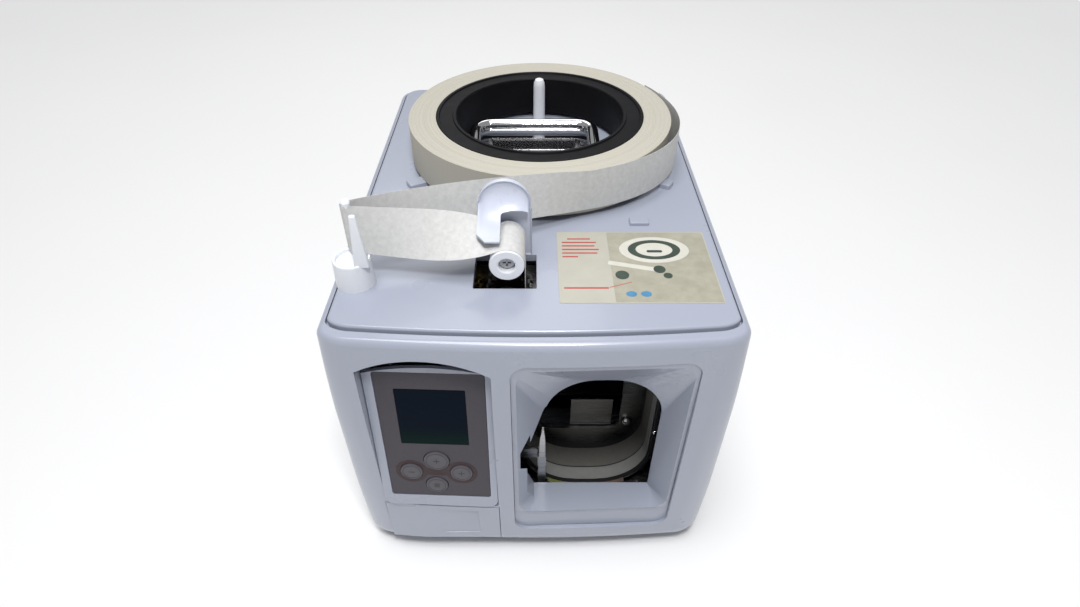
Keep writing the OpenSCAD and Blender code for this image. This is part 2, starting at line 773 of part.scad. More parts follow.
// ---------- tape guides ----------
module guide_post() {
    color("white") difference() {
        union() {
            translate([post_x - 0.5, post_y - 7, lid_z]) cylinder(r = post_cup_r, h = post_cup_h, $fn = fine);
            translate([post_x, post_y, lid_z])
                cylinder(r = post_pin_r, h = post_cup_h + tape_w + 3, $fn = fine);
            // tapered fin in front of the tape
            upright(post_y - 14, 3) translate([post_x + 5.5, lid_z + post_cup_h - 1])
                polygon([[-3.4, 0], [3.4, 0], [1.6, 29], [-1.6, 29]]);
        }
        // way out for the tape
        block([post_x + 3, post_y - 5.5, lid_z + post_cup_h - 1.6],
            [post_x + 12, post_y - 1.5, lid_z + post_cup_h + 1]);
        translate([post_x - 0.5, post_y - 7, lid_z + post_cup_h - 2]) difference() {
            cylinder(r = post_cup_r - 1.6, h = 2.5, $fn = fine);
            translate([-20, -20, -1]) cube([40, 16.2, 9]);
            translate([-20, 2.6, -1]) cube([40, 20, 9]);
        }
    }
}

module guide_outline(gap) {
    left = guide_left + gap;
    right = guide_right - gap;
    intersection() {
        translate([-14.2, lid_z + 30.2]) circle(12.8 - gap, $fn = fine);
        translate([left, lid_z + 14]) square([right - left, 40]);
    }
    polygon([[left, lid_z + gap], [right, lid_z + gap], [right, lid_z + 26], [-8, lid_z + 36 - gap],
        [-20, lid_z + 36 - gap], [left, lid_z + 32]]);
}

module feed_guide() {
    color("lavender") difference() {
        union() {
            upright(guide_plate_y, guide_plate_t) guide_outline(0);
            // raised rim
            upright(guide_plate_y - guide_rim, guide_rim + 0.1) difference() {
                guide_outline(0);
                guide_outline(guide_rim);
            }
            // boss that carries the roller's screw
            rod(roller_x, roller_z, 3 * guide_screw_r, guide_plate_y - 1.6, guide_plate_y + 4);
            // shield over the tape, from the plate forward
            translate([guide_left + 1.2, guide_plate_y, lid_z]) rotate([90, 0, 90]) linear_extrude(shield_w)
                polygon(concat([for (p = shield) [p[0], p[1] + shield_t]],
                    [for (i = [len(shield) - 1:-1:0]) shield[i]]));
        }
        rod(roller_x, roller_z, guide_screw_r, guide_plate_y - 20, guide_plate_y + far);
    }
}

module guide_roller() {
    color("white") difference() {
        rod(roller_x, roller_z, roller_r, tape_front - 1, guide_plate_y - 2);
        rod(roller_x, roller_z, guide_screw_r + run, tape_front - 5, guide_plate_y + 2);
        rod(roller_x, roller_z, 4, tape_front - 5, tape_front + 4);
    }
}

module guide_roller_screw() {
    color("silver") {
        rod(roller_x, roller_z, guide_screw_r, tape_front + 3.6, guide_plate_y + 4);
        translate([roller_x, tape_front + 3.6, roller_z]) rotate([90, 0, 0]) difference() {
            cylinder(r = 3.4, h = 1.8, $fn = fine);
            cross_recess(1.1, 1.8, 0.9, 4);
        }
    }
}

// ---------- tape ----------
function unit(v) = v / norm(v);
function along(s, i) = unit(s[min(i + 1, len(s) - 1)][0] - s[max(i - 1, 0)][0]);

// A ribbon through stations, as one closed strip
module ribbon(s, w, t) {
    n = len(s);
    pts = [for (i = [0:n - 1]) let (face = unit(cross(along(s, i), s[i][1])))
        each [for (c = [[-1, -1], [1, -1], [1, 1], [-1, 1]])
            s[i][0] + s[i][1] * c[0] * w / 2 + face * c[1] * t / 2]];
    sides = [for (i = [0:n - 2], k = [0:3]) each let (a = 4 * i + k, b = 4 * i + (k + 1) % 4)
        [[a, b, b + 4], [a, b + 4, a + 4]]];
    z = 4 * n - 4;
    polyhedron(pts, concat([[2, 1, 0], [3, 2, 0]], sides, [[z, z + 1, z + 2], [z, z + 2, z + 3]]));
}

module tape_span() { color("ivory") ribbon(span_stations, tape_w, tape_t); }

// Rounded track outline from the left wall round to the top; g is the distance inside the walls
module track_outline(g) {
    l = track_left + g;
    r = track_right - g;
    b = track_low + g;
    h = track_high - g;
    lc = low_corner - g;
    hc = high_corner - g;
    translate([l, b + lc]) square([r - l, h - b - lc - hc]);
    translate([l + lc, b]) square([r - l - 2 * lc, lc + 1]);
    translate([l, h - hc - 1]) square([r - l - hc, hc + 1]);
    for (x = [l + lc, r - lc]) translate([x, b + lc]) circle(lc, $fn = fine);
    translate([r - hc, h - hc]) circle(hc, $fn = fine);
}

module tape_loop() {
    g = 0.5 - tape_t / 2;
    color("ivory") {
        upright(tape_front, tape_w) difference() {
            track_outline(g);
            track_outline(g + tape_t);
            translate([drop_x + 1, track_high - 20]) square([7, 40]);
            translate([track_left, track_high - 6]) square([8, 40]);
        }
        block([drop_x - tape_t / 2, tape_front, track_high - 6.1],
            [drop_x + tape_t / 2, tape_back, cut_z - cut_gap]);
    }
}

module instruction_label() {
    color("beige") round_box([12, tape_y - 24.5, lid_z], [90, tape_y + 33.5, lid_z + 0.3], 1);
}

// ---------- mechanism ----------
module plate_holes() {
    for (p = concat(spacer_spots, [[pivot_x, pivot_z]])) translate(p) circle(stud_r + run, $fn = 48);
    translate([cam_x, cam_z]) circle(cam_shaft_r + run, $fn = fine);
    translate([feed_x, feed_z]) circle(feed_shaft_r + run, $fn = fine);
}

module rear_plate() {
    color("silver") upright(rear_plate_y, plate_t) difference() {
        union() {
            translate([plate_left, plate_low]) square([plate_right - plate_left, plate_high - plate_low]);
            translate([-base_half_w + 4, tray_top]) square([2 * base_half_w - 8, plate_low]);
        }
        plate_holes();
        translate([30, 77]) round_rect(52, 94, 8);
        translate([cam_x, cam_pinion_z]) circle(motor_shaft_r + 1, $fn = fine);
        translate([feed_pinion_x, feed_z]) circle(motor_shaft_r + 1, $fn = fine);
    }
}

module front_plate() {
    color("silver") upright(front_plate_y, plate_t) difference() {
        union() {
            translate([plate_left, spacer_low - 8]) square([-16 - plate_left, plate_high - spacer_low + 8]);
            translate([-20, 139]) square([88, plate_high - 139]);
        }
        plate_holes();
    }
}

module spacers() {
    y0 = front_plate_y + plate_t;
    color("silver") {
        for (p = spacer_spots) {
            rod(p[0], p[1], spacer_r, y0, rear_plate_y);
            rod(p[0], p[1], stud_r, front_plate_y - 1.5, rear_plate_y + plate_t + 1.5);
        }
        rod(pivot_x, pivot_z, pivot_r, y0, rear_plate_y);
        rod(pivot_x, pivot_z, stud_r, front_plate_y - 1.5, rear_plate_y + plate_t + 1.5);
    }
}

module loop_track() {
    color("dimgray") upright(track_front, rear_plate_y - track_front) difference() {
        track_outline(-track_t);
        track_outline(0);
        // way in for the tape
        translate([track_left - 0.01, track_high - 10]) square([12, 30]);
        // window for the sealing head
        translate([track_left - 5, head_z - 10]) square([10, far]);
    }
}

module note_stop() {
    y0 = rear_plate_y + plate_t + 2;
    y1 = y0 + 1.5;
    color("silver") {
        block([24, y0, 30], [51.5, y1, 54]);
        block([24, y0 - 1.2, 30], [51.5, y1, 31.2]);
        block([30, y0, tray_top], [45, y1, 31]);
        block([30, y0, tray_top], [45, y1 + 19.5, tray_top + 1.5]);
    }
}

module dome_screws() {
    color("silver") {
        rod(60.5, 39, 2, rear_plate_y - 0.5, rear_plate_y);
        translate([60.5, rear_plate_y, 39]) intersection() {
            sphere(4, $fn = fine);
            translate([-5, -5, -5]) cube([10, 5, 10]);
        }
        translate([track_right + track_t / 2, track_front, 67]) intersection() {
            sphere(1.6, $fn = fine);
            translate([-5, -5, -5]) cube([10, 5, 10]);
        }
    }
}

module slide_block() {
    color("dimgray") difference() {
        block([block_x, nip_front, head_z - 8], [block_x + block_w, rear_plate_y, cut_z + 7]);
        cross_rod(head_y, head_z, rod_r + run, block_x - 1, 0);
        cross_rod(cutter_y, cut_z, rod_r + run, block_x - 1, 0);
    }
}

module seal_head() {
    color("indianred") {
        block([pad_x, head_y - 4, cam_z - 10], [pad_x + 3, head_y + 4, cam_z + 8]);
        cross_rod(head_y, head_z, rod_r, pad_x + 1, -30);
        block([-31, tape_front + 1, head_z - 8.5], [track_left - 4.4, tape_back - 2, head_z + 8.5]);
    }
}

module anvil() {
    color("silver") {
        block([drop_x + 0.5, tape_front + 1, head_z - 9], [drop_x + 2, tape_back + 2, head_z + 3]);
        block([drop_x + 0.5, tape_back, head_z - 9], [7, rear_plate_y, head_z + 1]);
    }
}

module cutter() {
    color("silver") {
        block([pad_x, cutter_y - 4, cam_z - 8], [pad_x + 3, cutter_y + 4, cut_z + 4]);
        cross_rod(cutter_y, cut_z, rod_r, pad_x + 1, -30);
        difference() {
            block([-33, cutter_y - 8, cut_z - 2.5], [-27, cutter_y + 5, cut_z + 2.5]);
            block([-29, -120, cut_z - 0.3], [-20, -60, cut_z + 0.3]);
        }
        block([-29, tape_front - 1, cut_z - 0.3], [-12, tape_back + 1, cut_z + 0.3]);
        translate([-12, tape_front - 1, cut_z - 0.3]) linear_extrude(0.6)
            polygon([[0, 0], [4.6, 0], [1, tape_w + 2], [0, tape_w + 2]]);
    }
}

module clamp_guide() {
    color("dimgray") difference() {
        block([clamp_guide_x, clamp_y - 3, clamp_z - 9], [clamp_guide_x + 15, front_plate_y, clamp_z + 9]);
        block([clamp_guide_x - 1, clamp_y - run, clamp_z - 4 - run],
            [clamp_guide_x + 16, clamp_y + 3 + run, clamp_z + 4 + run]);
    }
}

module note_clamp() {
    color("silver") {
        block([clamp_guide_x - 2 - clamp_travel, clamp_y, clamp_z - 4], [4, clamp_y + 3, clamp_z + 4]);
        block([2, clamp_y - 5.5, clamp_z - 4], [7, clamp_y + 3, clamp_z + 4]);
        upright(clamp_y - 5.5, 3)
            polygon([[3.4, 36], [6, 36], [7, 44], [6.4, 80], [5.4, 88], [4.4, 88], [3.2, 80], [2.2, 44]]);
    }
}

module feed_shaft() {
    color("silver") {
        rod(feed_x, feed_z, feed_shaft_r, front_plate_y - 2, rear_plate_y + plate_t + 3);
        upright(gear_y, gear_t) translate([feed_x, feed_z]) difference() {
            gear_outline(feed_teeth);
            circle(feed_shaft_r - 0.5, $fn = fine);
        }
    }
}

module feed_roller() {
    color("dimgray") difference() {
        rod(feed_x, feed_z, feed_r, nip_front, nip_back);
        rod(feed_x, feed_z, feed_shaft_r, nip_front - 1, nip_back + 1);
    }
}

module motor(x, z, r, l) {
    rod(x, z, r, rear_plate_y + plate_t, rear_plate_y + plate_t + l);
    rod(x, z, motor_shaft_r, gear_y, rear_plate_y + plate_t + 1);
    rod(x, z, r * 0.4, rear_plate_y + plate_t + l - 1, rear_plate_y + plate_t + l + 3);
}

module feed_motor() { color("gray") motor(feed_pinion_x, feed_z, 13.5, 40); }
module cam_motor() { color("gray") motor(cam_x, cam_pinion_z, 16.5, 50); }

module pinion(x, z, mesh_a) {
    color("gold") upright(gear_y, gear_t) translate([x, z]) difference() {
        rotate(mesh_a) gear_outline(pinion_teeth);
        circle(motor_shaft_r + run, $fn = fine);
    }
}

module feed_pinion() { pinion(feed_pinion_x, feed_z, 180 / pinion_teeth); }
module cam_pinion() { pinion(cam_x, cam_pinion_z, 180 / pinion_teeth); }

module pinch_arm() {
    a = atan2(pivot_z - feed_z, pivot_x - pinch_x);
    l = norm([pivot_x - pinch_x, pivot_z - feed_z]);
    color("silver") difference() {
        union() {
            for (y = [nip_front - 2, nip_back + 0.5]) upright(y, 1.5) {
                translate([pinch_x, feed_z]) circle(4, $fn = fine);
                translate([pivot_x, pivot_z]) circle(5, $fn = fine);
                translate([pinch_x, feed_z]) rotate(a) translate([0, -4]) square([l, 8]);
            }
            rod(pivot_x, pivot_z, 5, nip_front - 2, nip_back + 2);
            rod(pinch_x, feed_z, 1.5, nip_front - 2, nip_back + 2);
        }
        rod(pivot_x, pivot_z, pivot_r + run, nip_front - 5, nip_back + 5);
    }
}

module pinch_roller() {
    color("dimgray") difference() {
        rod(pinch_x, feed_z, pinch_r, nip_front + 0.3, nip_back - 0.3 + 0.5);
        rod(pinch_x, feed_z, 1.5 + run, nip_front - 1, nip_back + 1);
    }
}

module cam_shaft() {
    color("silver") {
        rod(cam_x, cam_z, cam_shaft_r, front_plate_y - 2, rear_plate_y + plate_t + 3);
        upright(gear_y, gear_t) translate([cam_x, cam_z]) difference() {
            rotate(180 / cam_teeth) gear_outline(cam_teeth);
            circle(cam_shaft_r - 0.5, $fn = fine);
        }
    }
}

module cams() {
    color("goldenrod") difference() {
        union() {
            for (c = [[head_y, 4, 15], [cutter_y, 10, 200]]) translate([cam_x, 0, cam_z]) rotate([0, c[2], 0])
                rod(-c[1] / 2, 0, cam_reach - c[1] / 2, c[0] - 3, c[0] + 3);
            rod(cam_x, cam_z, 6.5, head_y - 5, cutter_y + 5);
        }
        rod(cam_x, cam_z, cam_shaft_r, -110, -60);
    }
}

// ---------- electrics ----------
module main_board() {
    color("darkgreen") {
        block([-12, -30, tray_top + 8], [70, 60, tray_top + 9.6]);
        for (x = [-6, 64], y = [-24, 54]) translate([x, y, tray_top]) cylinder(r = 3, h = 8.1, $fn = fine);
        for (x = [5, 22, 39]) translate([x, 44, tray_top + 9]) cylinder(r = 6, h = 18, $fn = fine);
        block([0, -10, tray_top + 9], [16, 6, tray_top + 12]);
        block([30, -18, tray_top + 9], [52, 8, tray_top + 22]);
    }
}

module transformer() {
    y0 = foot_ys[1] - 60;
    y1 = foot_ys[1] - 14;
    color("gray") {
        block([-70, y0, tray_top], [-24, y1, tray_top + 3]);
        block([-66, y0 + 6, tray_top + 2], [-28, y1 - 6, tray_top + 40]);
        block([-62, y0, tray_top + 9], [-32, y1, tray_top + 33]);
    }
}

module power_inlet() {
    color("black") difference() {
        union() {
            upright(rear_y + rear_t, 1.8) translate([c14_x, c14_z]) round_rect(34, 25, 4);
            upright(rear_y - 18, 20.5) translate([c14_x, c14_z])
                round_rect(inlet_c14[0] - 0.4, inlet_c14[1] - 0.4, 3);
        }
        upright(rear_y - 12, 30) translate([c14_x, c14_z]) round_rect(22, 15.5, 2.5);
    }
    color("silver") for (p = [[0, 3], [-7, -2], [7, -2]])
        block([c14_x + p[0] - 1, rear_y - 13, c14_z + p[1] - 2],
            [c14_x + p[0] + 1, rear_y - 1, c14_z + p[1] + 2]);
}

module switch_body() {
    color("black") difference() {
        union() {
            block([switch_x - 7.5, rear_y + rear_t, c14_z - 10.5],
                [switch_x + 7.5, rear_y + rear_t + 1.6, c14_z + 10.5]);
            block([switch_x - 6.4, rear_y - 16, c14_z - 9.6],
                [switch_x + 6.4, rear_y + rear_t + 1, c14_z + 9.6]);
        }
        block([switch_x - 5.2, rear_y - 8, c14_z - 8.8], [switch_x + 5.2, rear_y + 20, c14_z + 8.8]);
        cross_rod(rear_y - 1, c14_z, 1, switch_x - 6, switch_x + 6);
    }
}

module switch_rocker() {
    color("black") translate([0, rear_y - 1, c14_z]) rotate([rocker_lean, 0, 0]) {
        translate([switch_x - 5, 0, 0]) rotate([0, 90, 0]) intersection() {
            cylinder(r = 8, h = 10, $fn = fine);
            translate([-8, -3, -1]) cube([16, 8.6, 12]);
        }
        translate([switch_x - 5.9, 0, 0]) rotate([0, 90, 0]) cylinder(r = 1 - run, h = 11.8, $fn = fine);
    }
}

module fuse_holder() {
    color("black") {
        rod(fuse_x, c14_z, fuse_r, rear_y - 22, rear_y + rear_t + 1);
        difference() {
            rod(fuse_x, c14_z, 8, rear_y + rear_t, rear_y + rear_t + 3.5);
            block([fuse_x - 5, rear_y + rear_t + 2.4, c14_z - 0.7], [fuse_x + 5, rear_y + 20, c14_z + 0.7]);
        }
    }
}

casing();
lid();
base_plate();
rear_panel();
feet();
foot_screws();
rear_screws();
control_bezel();
keypad_overlay();
display_window();
display_module();
keypad_board();
key_top();
key_left();
key_right();
key_bottom();
lower_cover();
inlet_frame();
handle_dish();
handle_ears();
handle_pins();
handle_bail();
roll_core();
tape_roll();
roll_post();
guide_post();
feed_guide();
guide_roller();
guide_roller_screw();
tape_span();
tape_loop();
instruction_label();
rear_plate();
front_plate();
spacers();
loop_track();
note_stop();
dome_screws();
slide_block();
clamp_guide();
note_clamp();
seal_head();
anvil();
cutter();
feed_shaft();
feed_roller();
feed_motor();
feed_pinion();
pinch_arm();
pinch_roller();
cam_shaft();
cams();
cam_motor();
cam_pinion();
main_board();
transformer();
power_inlet();
switch_body();
switch_rocker();
fuse_holder();
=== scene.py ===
"""A desktop banknote strapping machine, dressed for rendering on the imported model."""
import json
import math

import bmesh
import bpy
from bpy.props import FloatProperty, FloatVectorProperty, PointerProperty
from mathutils import Matrix, Vector


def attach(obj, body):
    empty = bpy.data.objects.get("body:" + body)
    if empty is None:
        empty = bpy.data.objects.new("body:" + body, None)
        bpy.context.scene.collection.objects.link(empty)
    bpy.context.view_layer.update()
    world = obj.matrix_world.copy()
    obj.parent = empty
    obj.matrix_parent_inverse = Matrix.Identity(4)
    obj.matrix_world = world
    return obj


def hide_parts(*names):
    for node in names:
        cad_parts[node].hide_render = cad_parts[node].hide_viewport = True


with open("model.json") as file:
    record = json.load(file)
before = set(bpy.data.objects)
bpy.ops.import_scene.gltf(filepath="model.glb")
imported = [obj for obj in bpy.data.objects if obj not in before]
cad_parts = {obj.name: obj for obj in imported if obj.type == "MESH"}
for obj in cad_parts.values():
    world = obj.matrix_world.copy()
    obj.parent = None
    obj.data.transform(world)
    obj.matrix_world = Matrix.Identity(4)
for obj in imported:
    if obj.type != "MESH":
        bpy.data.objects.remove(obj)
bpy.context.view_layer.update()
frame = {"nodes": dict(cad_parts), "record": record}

bl_info = {
    "name": "Banknote Strapping Machine",
    "version": (1, 0, 0),
    "blender": (4, 5, 0),
    "location": "View3D > Sidebar > Strapping",
    "description": "Builds the visible pieces of a desktop banknote strapping machine",
    "category": "Object",
}

MM = 0.001
NODES = frame["nodes"]
BODY_OF = {n: b for b, ns in frame["record"]["behaviour"]["bodies"].items() for n in ns}
SLOT_OF = {s["node"]: s["material_slot"] for s in frame["record"]["subparts"]}

# places that several pieces share, in millimetres
HALF_W, HALF_D = 101.5, 141.5      # half the casing's width and depth
CORNER = 16                        # rounding of its upright corners
BULGE_R, BULGE_Z = 1300, 90        # radius of its bulging walls, and the height of their middle
BULGE_FLAT = 0.4                   # what is left off the bulge at its widest place
FRONT_BOW, LID_BOW = 900, 890      # radius of the front and of the lid's front, seen from above
LID_TOP = 177
PANEL_LEFT, PANEL_MID, PANEL_RIGHT = -83.4, -51.6, -19.8
ROLL_X, ROLL_Y = 3.5, 37           # middle of the tape roll
POST_X, POST_Y = -86, -88.5        # middle of the guide post's pin
ROLLER_X, ROLLER_Z = -12.8, 190    # middle of the guide roller
TAPE_Y, TAPE_WIDTH = -87.5, 24     # middle of the tape in the track, and its width
LOOP_LEFT = -4.1                   # left side of the tape's loop
LABEL_Z = 177.2                    # upper face of the label's sheet


# ---------- sizes and colours that a user would change ----------

class CasingLooks(bpy.types.PropertyGroup):
    """The moulded casing, its lid and its frames"""
    plastic: FloatVectorProperty(
        name="Plastic colour", description="Colour of the moulded casing", subtype="COLOR",
        size=3, min=0, max=1, default=(0.335, 0.360, 0.435))
    roughness: FloatProperty(
        name="Roughness", description="How matt the casing is", subtype="FACTOR",
        min=0.05, max=1, default=0.28)
    edge: FloatProperty(
        name="Edge rounding", description="Radius of the small moulded edges in millimetres",
        min=0.1, max=2, default=0.8)


class TapeLooks(bpy.types.PropertyGroup):
    """The paper tape and its roll"""
    paper: FloatVectorProperty(
        name="Paper colour", description="Colour of the paper tape", subtype="COLOR",
        size=3, min=0, max=1, default=(0.58, 0.58, 0.57))
    side: FloatVectorProperty(
        name="Roll side colour", description="Colour of the wound paper edges", subtype="COLOR",
        size=3, min=0, max=1, default=(0.48, 0.46, 0.40))


class PanelLooks(bpy.types.PropertyGroup):
    """The control panel"""
    film: FloatVectorProperty(
        name="Film colour", description="Colour of the keypad film", subtype="COLOR",
        size=3, min=0, max=1, default=(0.055, 0.050, 0.061))
    display: FloatVectorProperty(
        name="Display colour", description="Colour of the unlit display", subtype="COLOR",
        size=3, min=0, max=1, default=(0.0015, 0.005, 0.012))


# ---------- materials ----------

def shader(name):
    """A new material with its node tree, its surface shader and an Object coordinate."""
    mat = bpy.data.materials.new(name)
    mat.use_nodes = True
    tree = mat.node_tree
    surface = tree.nodes["Principled BSDF"]
    place = tree.nodes.new("ShaderNodeTexCoord")
    return mat, tree, surface, place.outputs["Object"]


def fill(tree, node, values):
    """Sets a node's sockets by name, to a value or to what comes out of another node."""
    for name, value in values.items():
        if isinstance(value, bpy.types.NodeSocket):
            tree.links.new(value, node.inputs[name])
        else:
            node.inputs[name].default_value = value


def noise(tree, where, scale, detail=3.0, rough=0.5):
    node = tree.nodes.new("ShaderNodeTexNoise")
    fill(tree, node, {"Scale": scale, "Detail": detail, "Roughness": rough, "Vector": where})
    return node.outputs["Fac"]


def spread(tree, value, low=0.3, high=0.7, out_low=0, out_high=1):
    """The value, stretched from one range to another."""
    node = tree.nodes.new("ShaderNodeMapRange")
    fill(tree, node, {"From Min": low, "From Max": high, "To Min": out_low, "To Max": out_high,
                      "Value": value})
    return node.outputs["Result"]


def blend_colour(tree, value, dark, light):
    return colour_steps(tree, value, ((0, dark), (1, light)))


def colour_steps(tree, value, stops):
    """A ramp through pairs of place and colour, the first at 0 and the last at 1."""
    ramp = tree.nodes.new("ShaderNodeValToRGB")
    tree.links.new(value, ramp.inputs["Fac"])
    first, last = ramp.color_ramp.elements
    first.color, last.color = (*stops[0][1], 1), (*stops[-1][1], 1)
    for at, colour in stops[1:-1]:
        ramp.color_ramp.elements.new(at).color = (*colour, 1)
    return ramp.outputs["Color"]


def bump(tree, surface, height, strength, distance):
    node = tree.nodes.new("ShaderNodeBump")
    fill(tree, node, {"Strength": strength, "Distance": distance, "Height": height})
    tree.links.new(node.outputs["Normal"], surface.inputs["Normal"])


def shade(colour, factor):
    return tuple(min(1.0, c * factor) for c in colour)


def plain(name, colour, rough, metal=0.0, grain=900.0, depth=0.00002, vary=0.06, spots=60.0,
          coat=0.0, subsurface=0.0, shine=0.5, even=0.15):
    """A finish with slight unevenness in colour and gloss and a fine grain."""
    mat, tree, surface, where = shader(name)
    cloud = spread(tree, noise(tree, where, spots, 4.0, 0.6))
    patches = noise(tree, where, spots * 2.3)
    fill(tree, surface, {
        "Base Color": blend_colour(tree, cloud, shade(colour, 1 - vary), shade(colour, 1 + vary)),
        "Roughness": spread(tree, patches, 0.2, 0.8, rough * (1 - even), rough * (1 + even)),
        "Metallic": metal, "Coat Weight": coat, "Coat Roughness": 0.08,
        "Specular IOR Level": shine, "Subsurface Weight": subsurface,
        "Subsurface Radius": (0.002, 0.002, 0.002)})
    bump(tree, surface, noise(tree, where, grain, 2.0), 0.35, depth)
    return mat


def brushed(name, colour, rough, along=(1, 0, 0)):
    """Metal drawn in one direction, with long fine streaks."""
    mat, tree, surface, where = shader(name)
    stretch = tree.nodes.new("ShaderNodeMapping")
    fill(tree, stretch, {"Scale": tuple(60 if a else 2400 for a in along), "Vector": where})
    streak = noise(tree, stretch.outputs["Vector"], 1.0)
    dark, light = shade(colour, 0.82), shade(colour, 1.1)
    fill(tree, surface, {
        "Base Color": blend_colour(tree, spread(tree, streak), dark, light),
        "Roughness": spread(tree, streak, 0.3, 0.7, rough * 0.8, rough * 1.25), "Metallic": 1.0})
    bump(tree, surface, streak, 0.15, 0.00002)
    return mat


def radius_from(tree, where, x, y):
    """Distance from an upright axis, in metres."""
    shift = tree.nodes.new("ShaderNodeMapping")
    fill(tree, shift, {"Location": (-x, -y, 0), "Scale": (1, 1, 0), "Vector": where})
    size = tree.nodes.new("ShaderNodeVectorMath")
    size.operation = "LENGTH"
    tree.links.new(shift.outputs["Vector"], size.inputs[0])
    return size.outputs["Value"]


def single(tree, value, scale):
    """A vector whose first number is the value, scaled."""
    times = tree.nodes.new("ShaderNodeMath")
    times.operation = "MULTIPLY"
    times.inputs[1].default_value = scale
    tree.links.new(value, times.inputs[0])
    join = tree.nodes.new("ShaderNodeCombineXYZ")
    tree.links.new(times.outputs["Value"], join.inputs["X"])
    return join.outputs["Vector"]


def part_of(tree, where, axis):
    split = tree.nodes.new("ShaderNodeSeparateXYZ")
    tree.links.new(where, split.inputs["Vector"])
    return split.outputs[axis]


def darkened(tree, colour, pattern, dark, share):
    """The colour with the dark parts of a pattern laid over it."""
    mix = tree.nodes.new("ShaderNodeMix")
    mix.data_type = "RGBA"
    mix.blend_type = "MULTIPLY"
    over = blend_colour(tree, spread(tree, pattern), dark, (1, 1, 1))
    fill(tree, mix, {"Factor": share, "A": colour, "B": over})
    return mix.outputs["Result"]


def paper_finish(name, colour):
    """Thin unevenly pressed paper: cloudy patches, fibres and a soft grain."""
    mat, tree, surface, where = shader(name)
    cloud = spread(tree, noise(tree, where, 420, 5.0, 0.65), 0.32, 0.68)
    fill(tree, surface, {
        "Base Color": blend_colour(tree, cloud, shade(colour, 0.90), shade(colour, 1.06)),
        "Roughness": 0.82, "Subsurface Weight": 0.2, "Subsurface Radius": (0.001, 0.001, 0.001)})
    bump(tree, surface, noise(tree, where, 2200), 0.4, 0.00006)
    return mat


def winding_finish(colour):
    """The edges of hundreds of wound turns, as fine rings of slightly different tone."""
    mat, tree, surface, where = shader("wound_paper")
    radius = radius_from(tree, where, ROLL_X * MM, ROLL_Y * MM)
    turns = noise(tree, single(tree, radius, 3400), 1.0, 2.0, 0.7)
    broad = noise(tree, single(tree, radius, 420), 1.0, 1.0)
    fine = blend_colour(tree, spread(tree, turns), shade(colour, 0.93), shade(colour, 1.05))
    fill(tree, surface, {"Base Color": darkened(tree, fine, broad, (0.88, 0.86, 0.80), 0.5),
                         "Roughness": 0.75})
    bump(tree, surface, turns, 0.5, 0.00012)
    return mat


def painted_shade_band():
    """Loop band in painted shade: a paler front, a dark painted-shade line at the groove, a darker
    rear.
    """
    mat, tree, surface, where = shader("loop_band_painted_shade")
    pale, line = (0.34, 0.34, 0.33), (0.03, 0.03, 0.03)
    band = colour_steps(tree, spread(tree, part_of(tree, where, "Y"), -0.0995, -0.0755), (
        (0, (0.30, 0.30, 0.29)), (0.36, pale), (0.375, line), (0.395, line),
        (0.41, (0.20, 0.195, 0.18)), (1, (0.17, 0.165, 0.15))))
    mottle = noise(tree, where, 260, 4.0, 0.6)
    fill(tree, surface, {"Base Color": darkened(tree, band, mottle, (0.8, 0.8, 0.8), 0.6),
                         "Roughness": 0.5})
    bump(tree, surface, mottle, 0.3, 0.00005)
    return mat


def along_finish(name, axis, low, high, stops, rough, metal):
    """A finish whose colour changes along one axis."""
    mat, tree, surface, where = shader(name)
    place = spread(tree, part_of(tree, where, axis), low, high)
    fill(tree, surface, {
        "Base Color": colour_steps(tree, place, stops),
        "Roughness": spread(tree, noise(tree, where, 300), 0.3, 0.7, rough * 0.8, rough * 1.2),
        "Metallic": metal})
    bump(tree, surface, noise(tree, where, 900, 2.0), 0.3, 0.00002)
    return mat


def display_finish(colour):
    """Dark display glass, with a green cast near its lower edge."""
    mat, tree, surface, where = shader("display_glass")
    height = spread(tree, part_of(tree, where, "Z"), 0.1000, 0.1120)
    fill(tree, surface, {
        "Base Color": blend_colour(tree, height, (0.002, 0.014, 0.010), colour),
        "Roughness": spread(tree, noise(tree, where, 60), 0.3, 0.7, 0.10, 0.16),
        "Specular IOR Level": 0.04})
    return mat


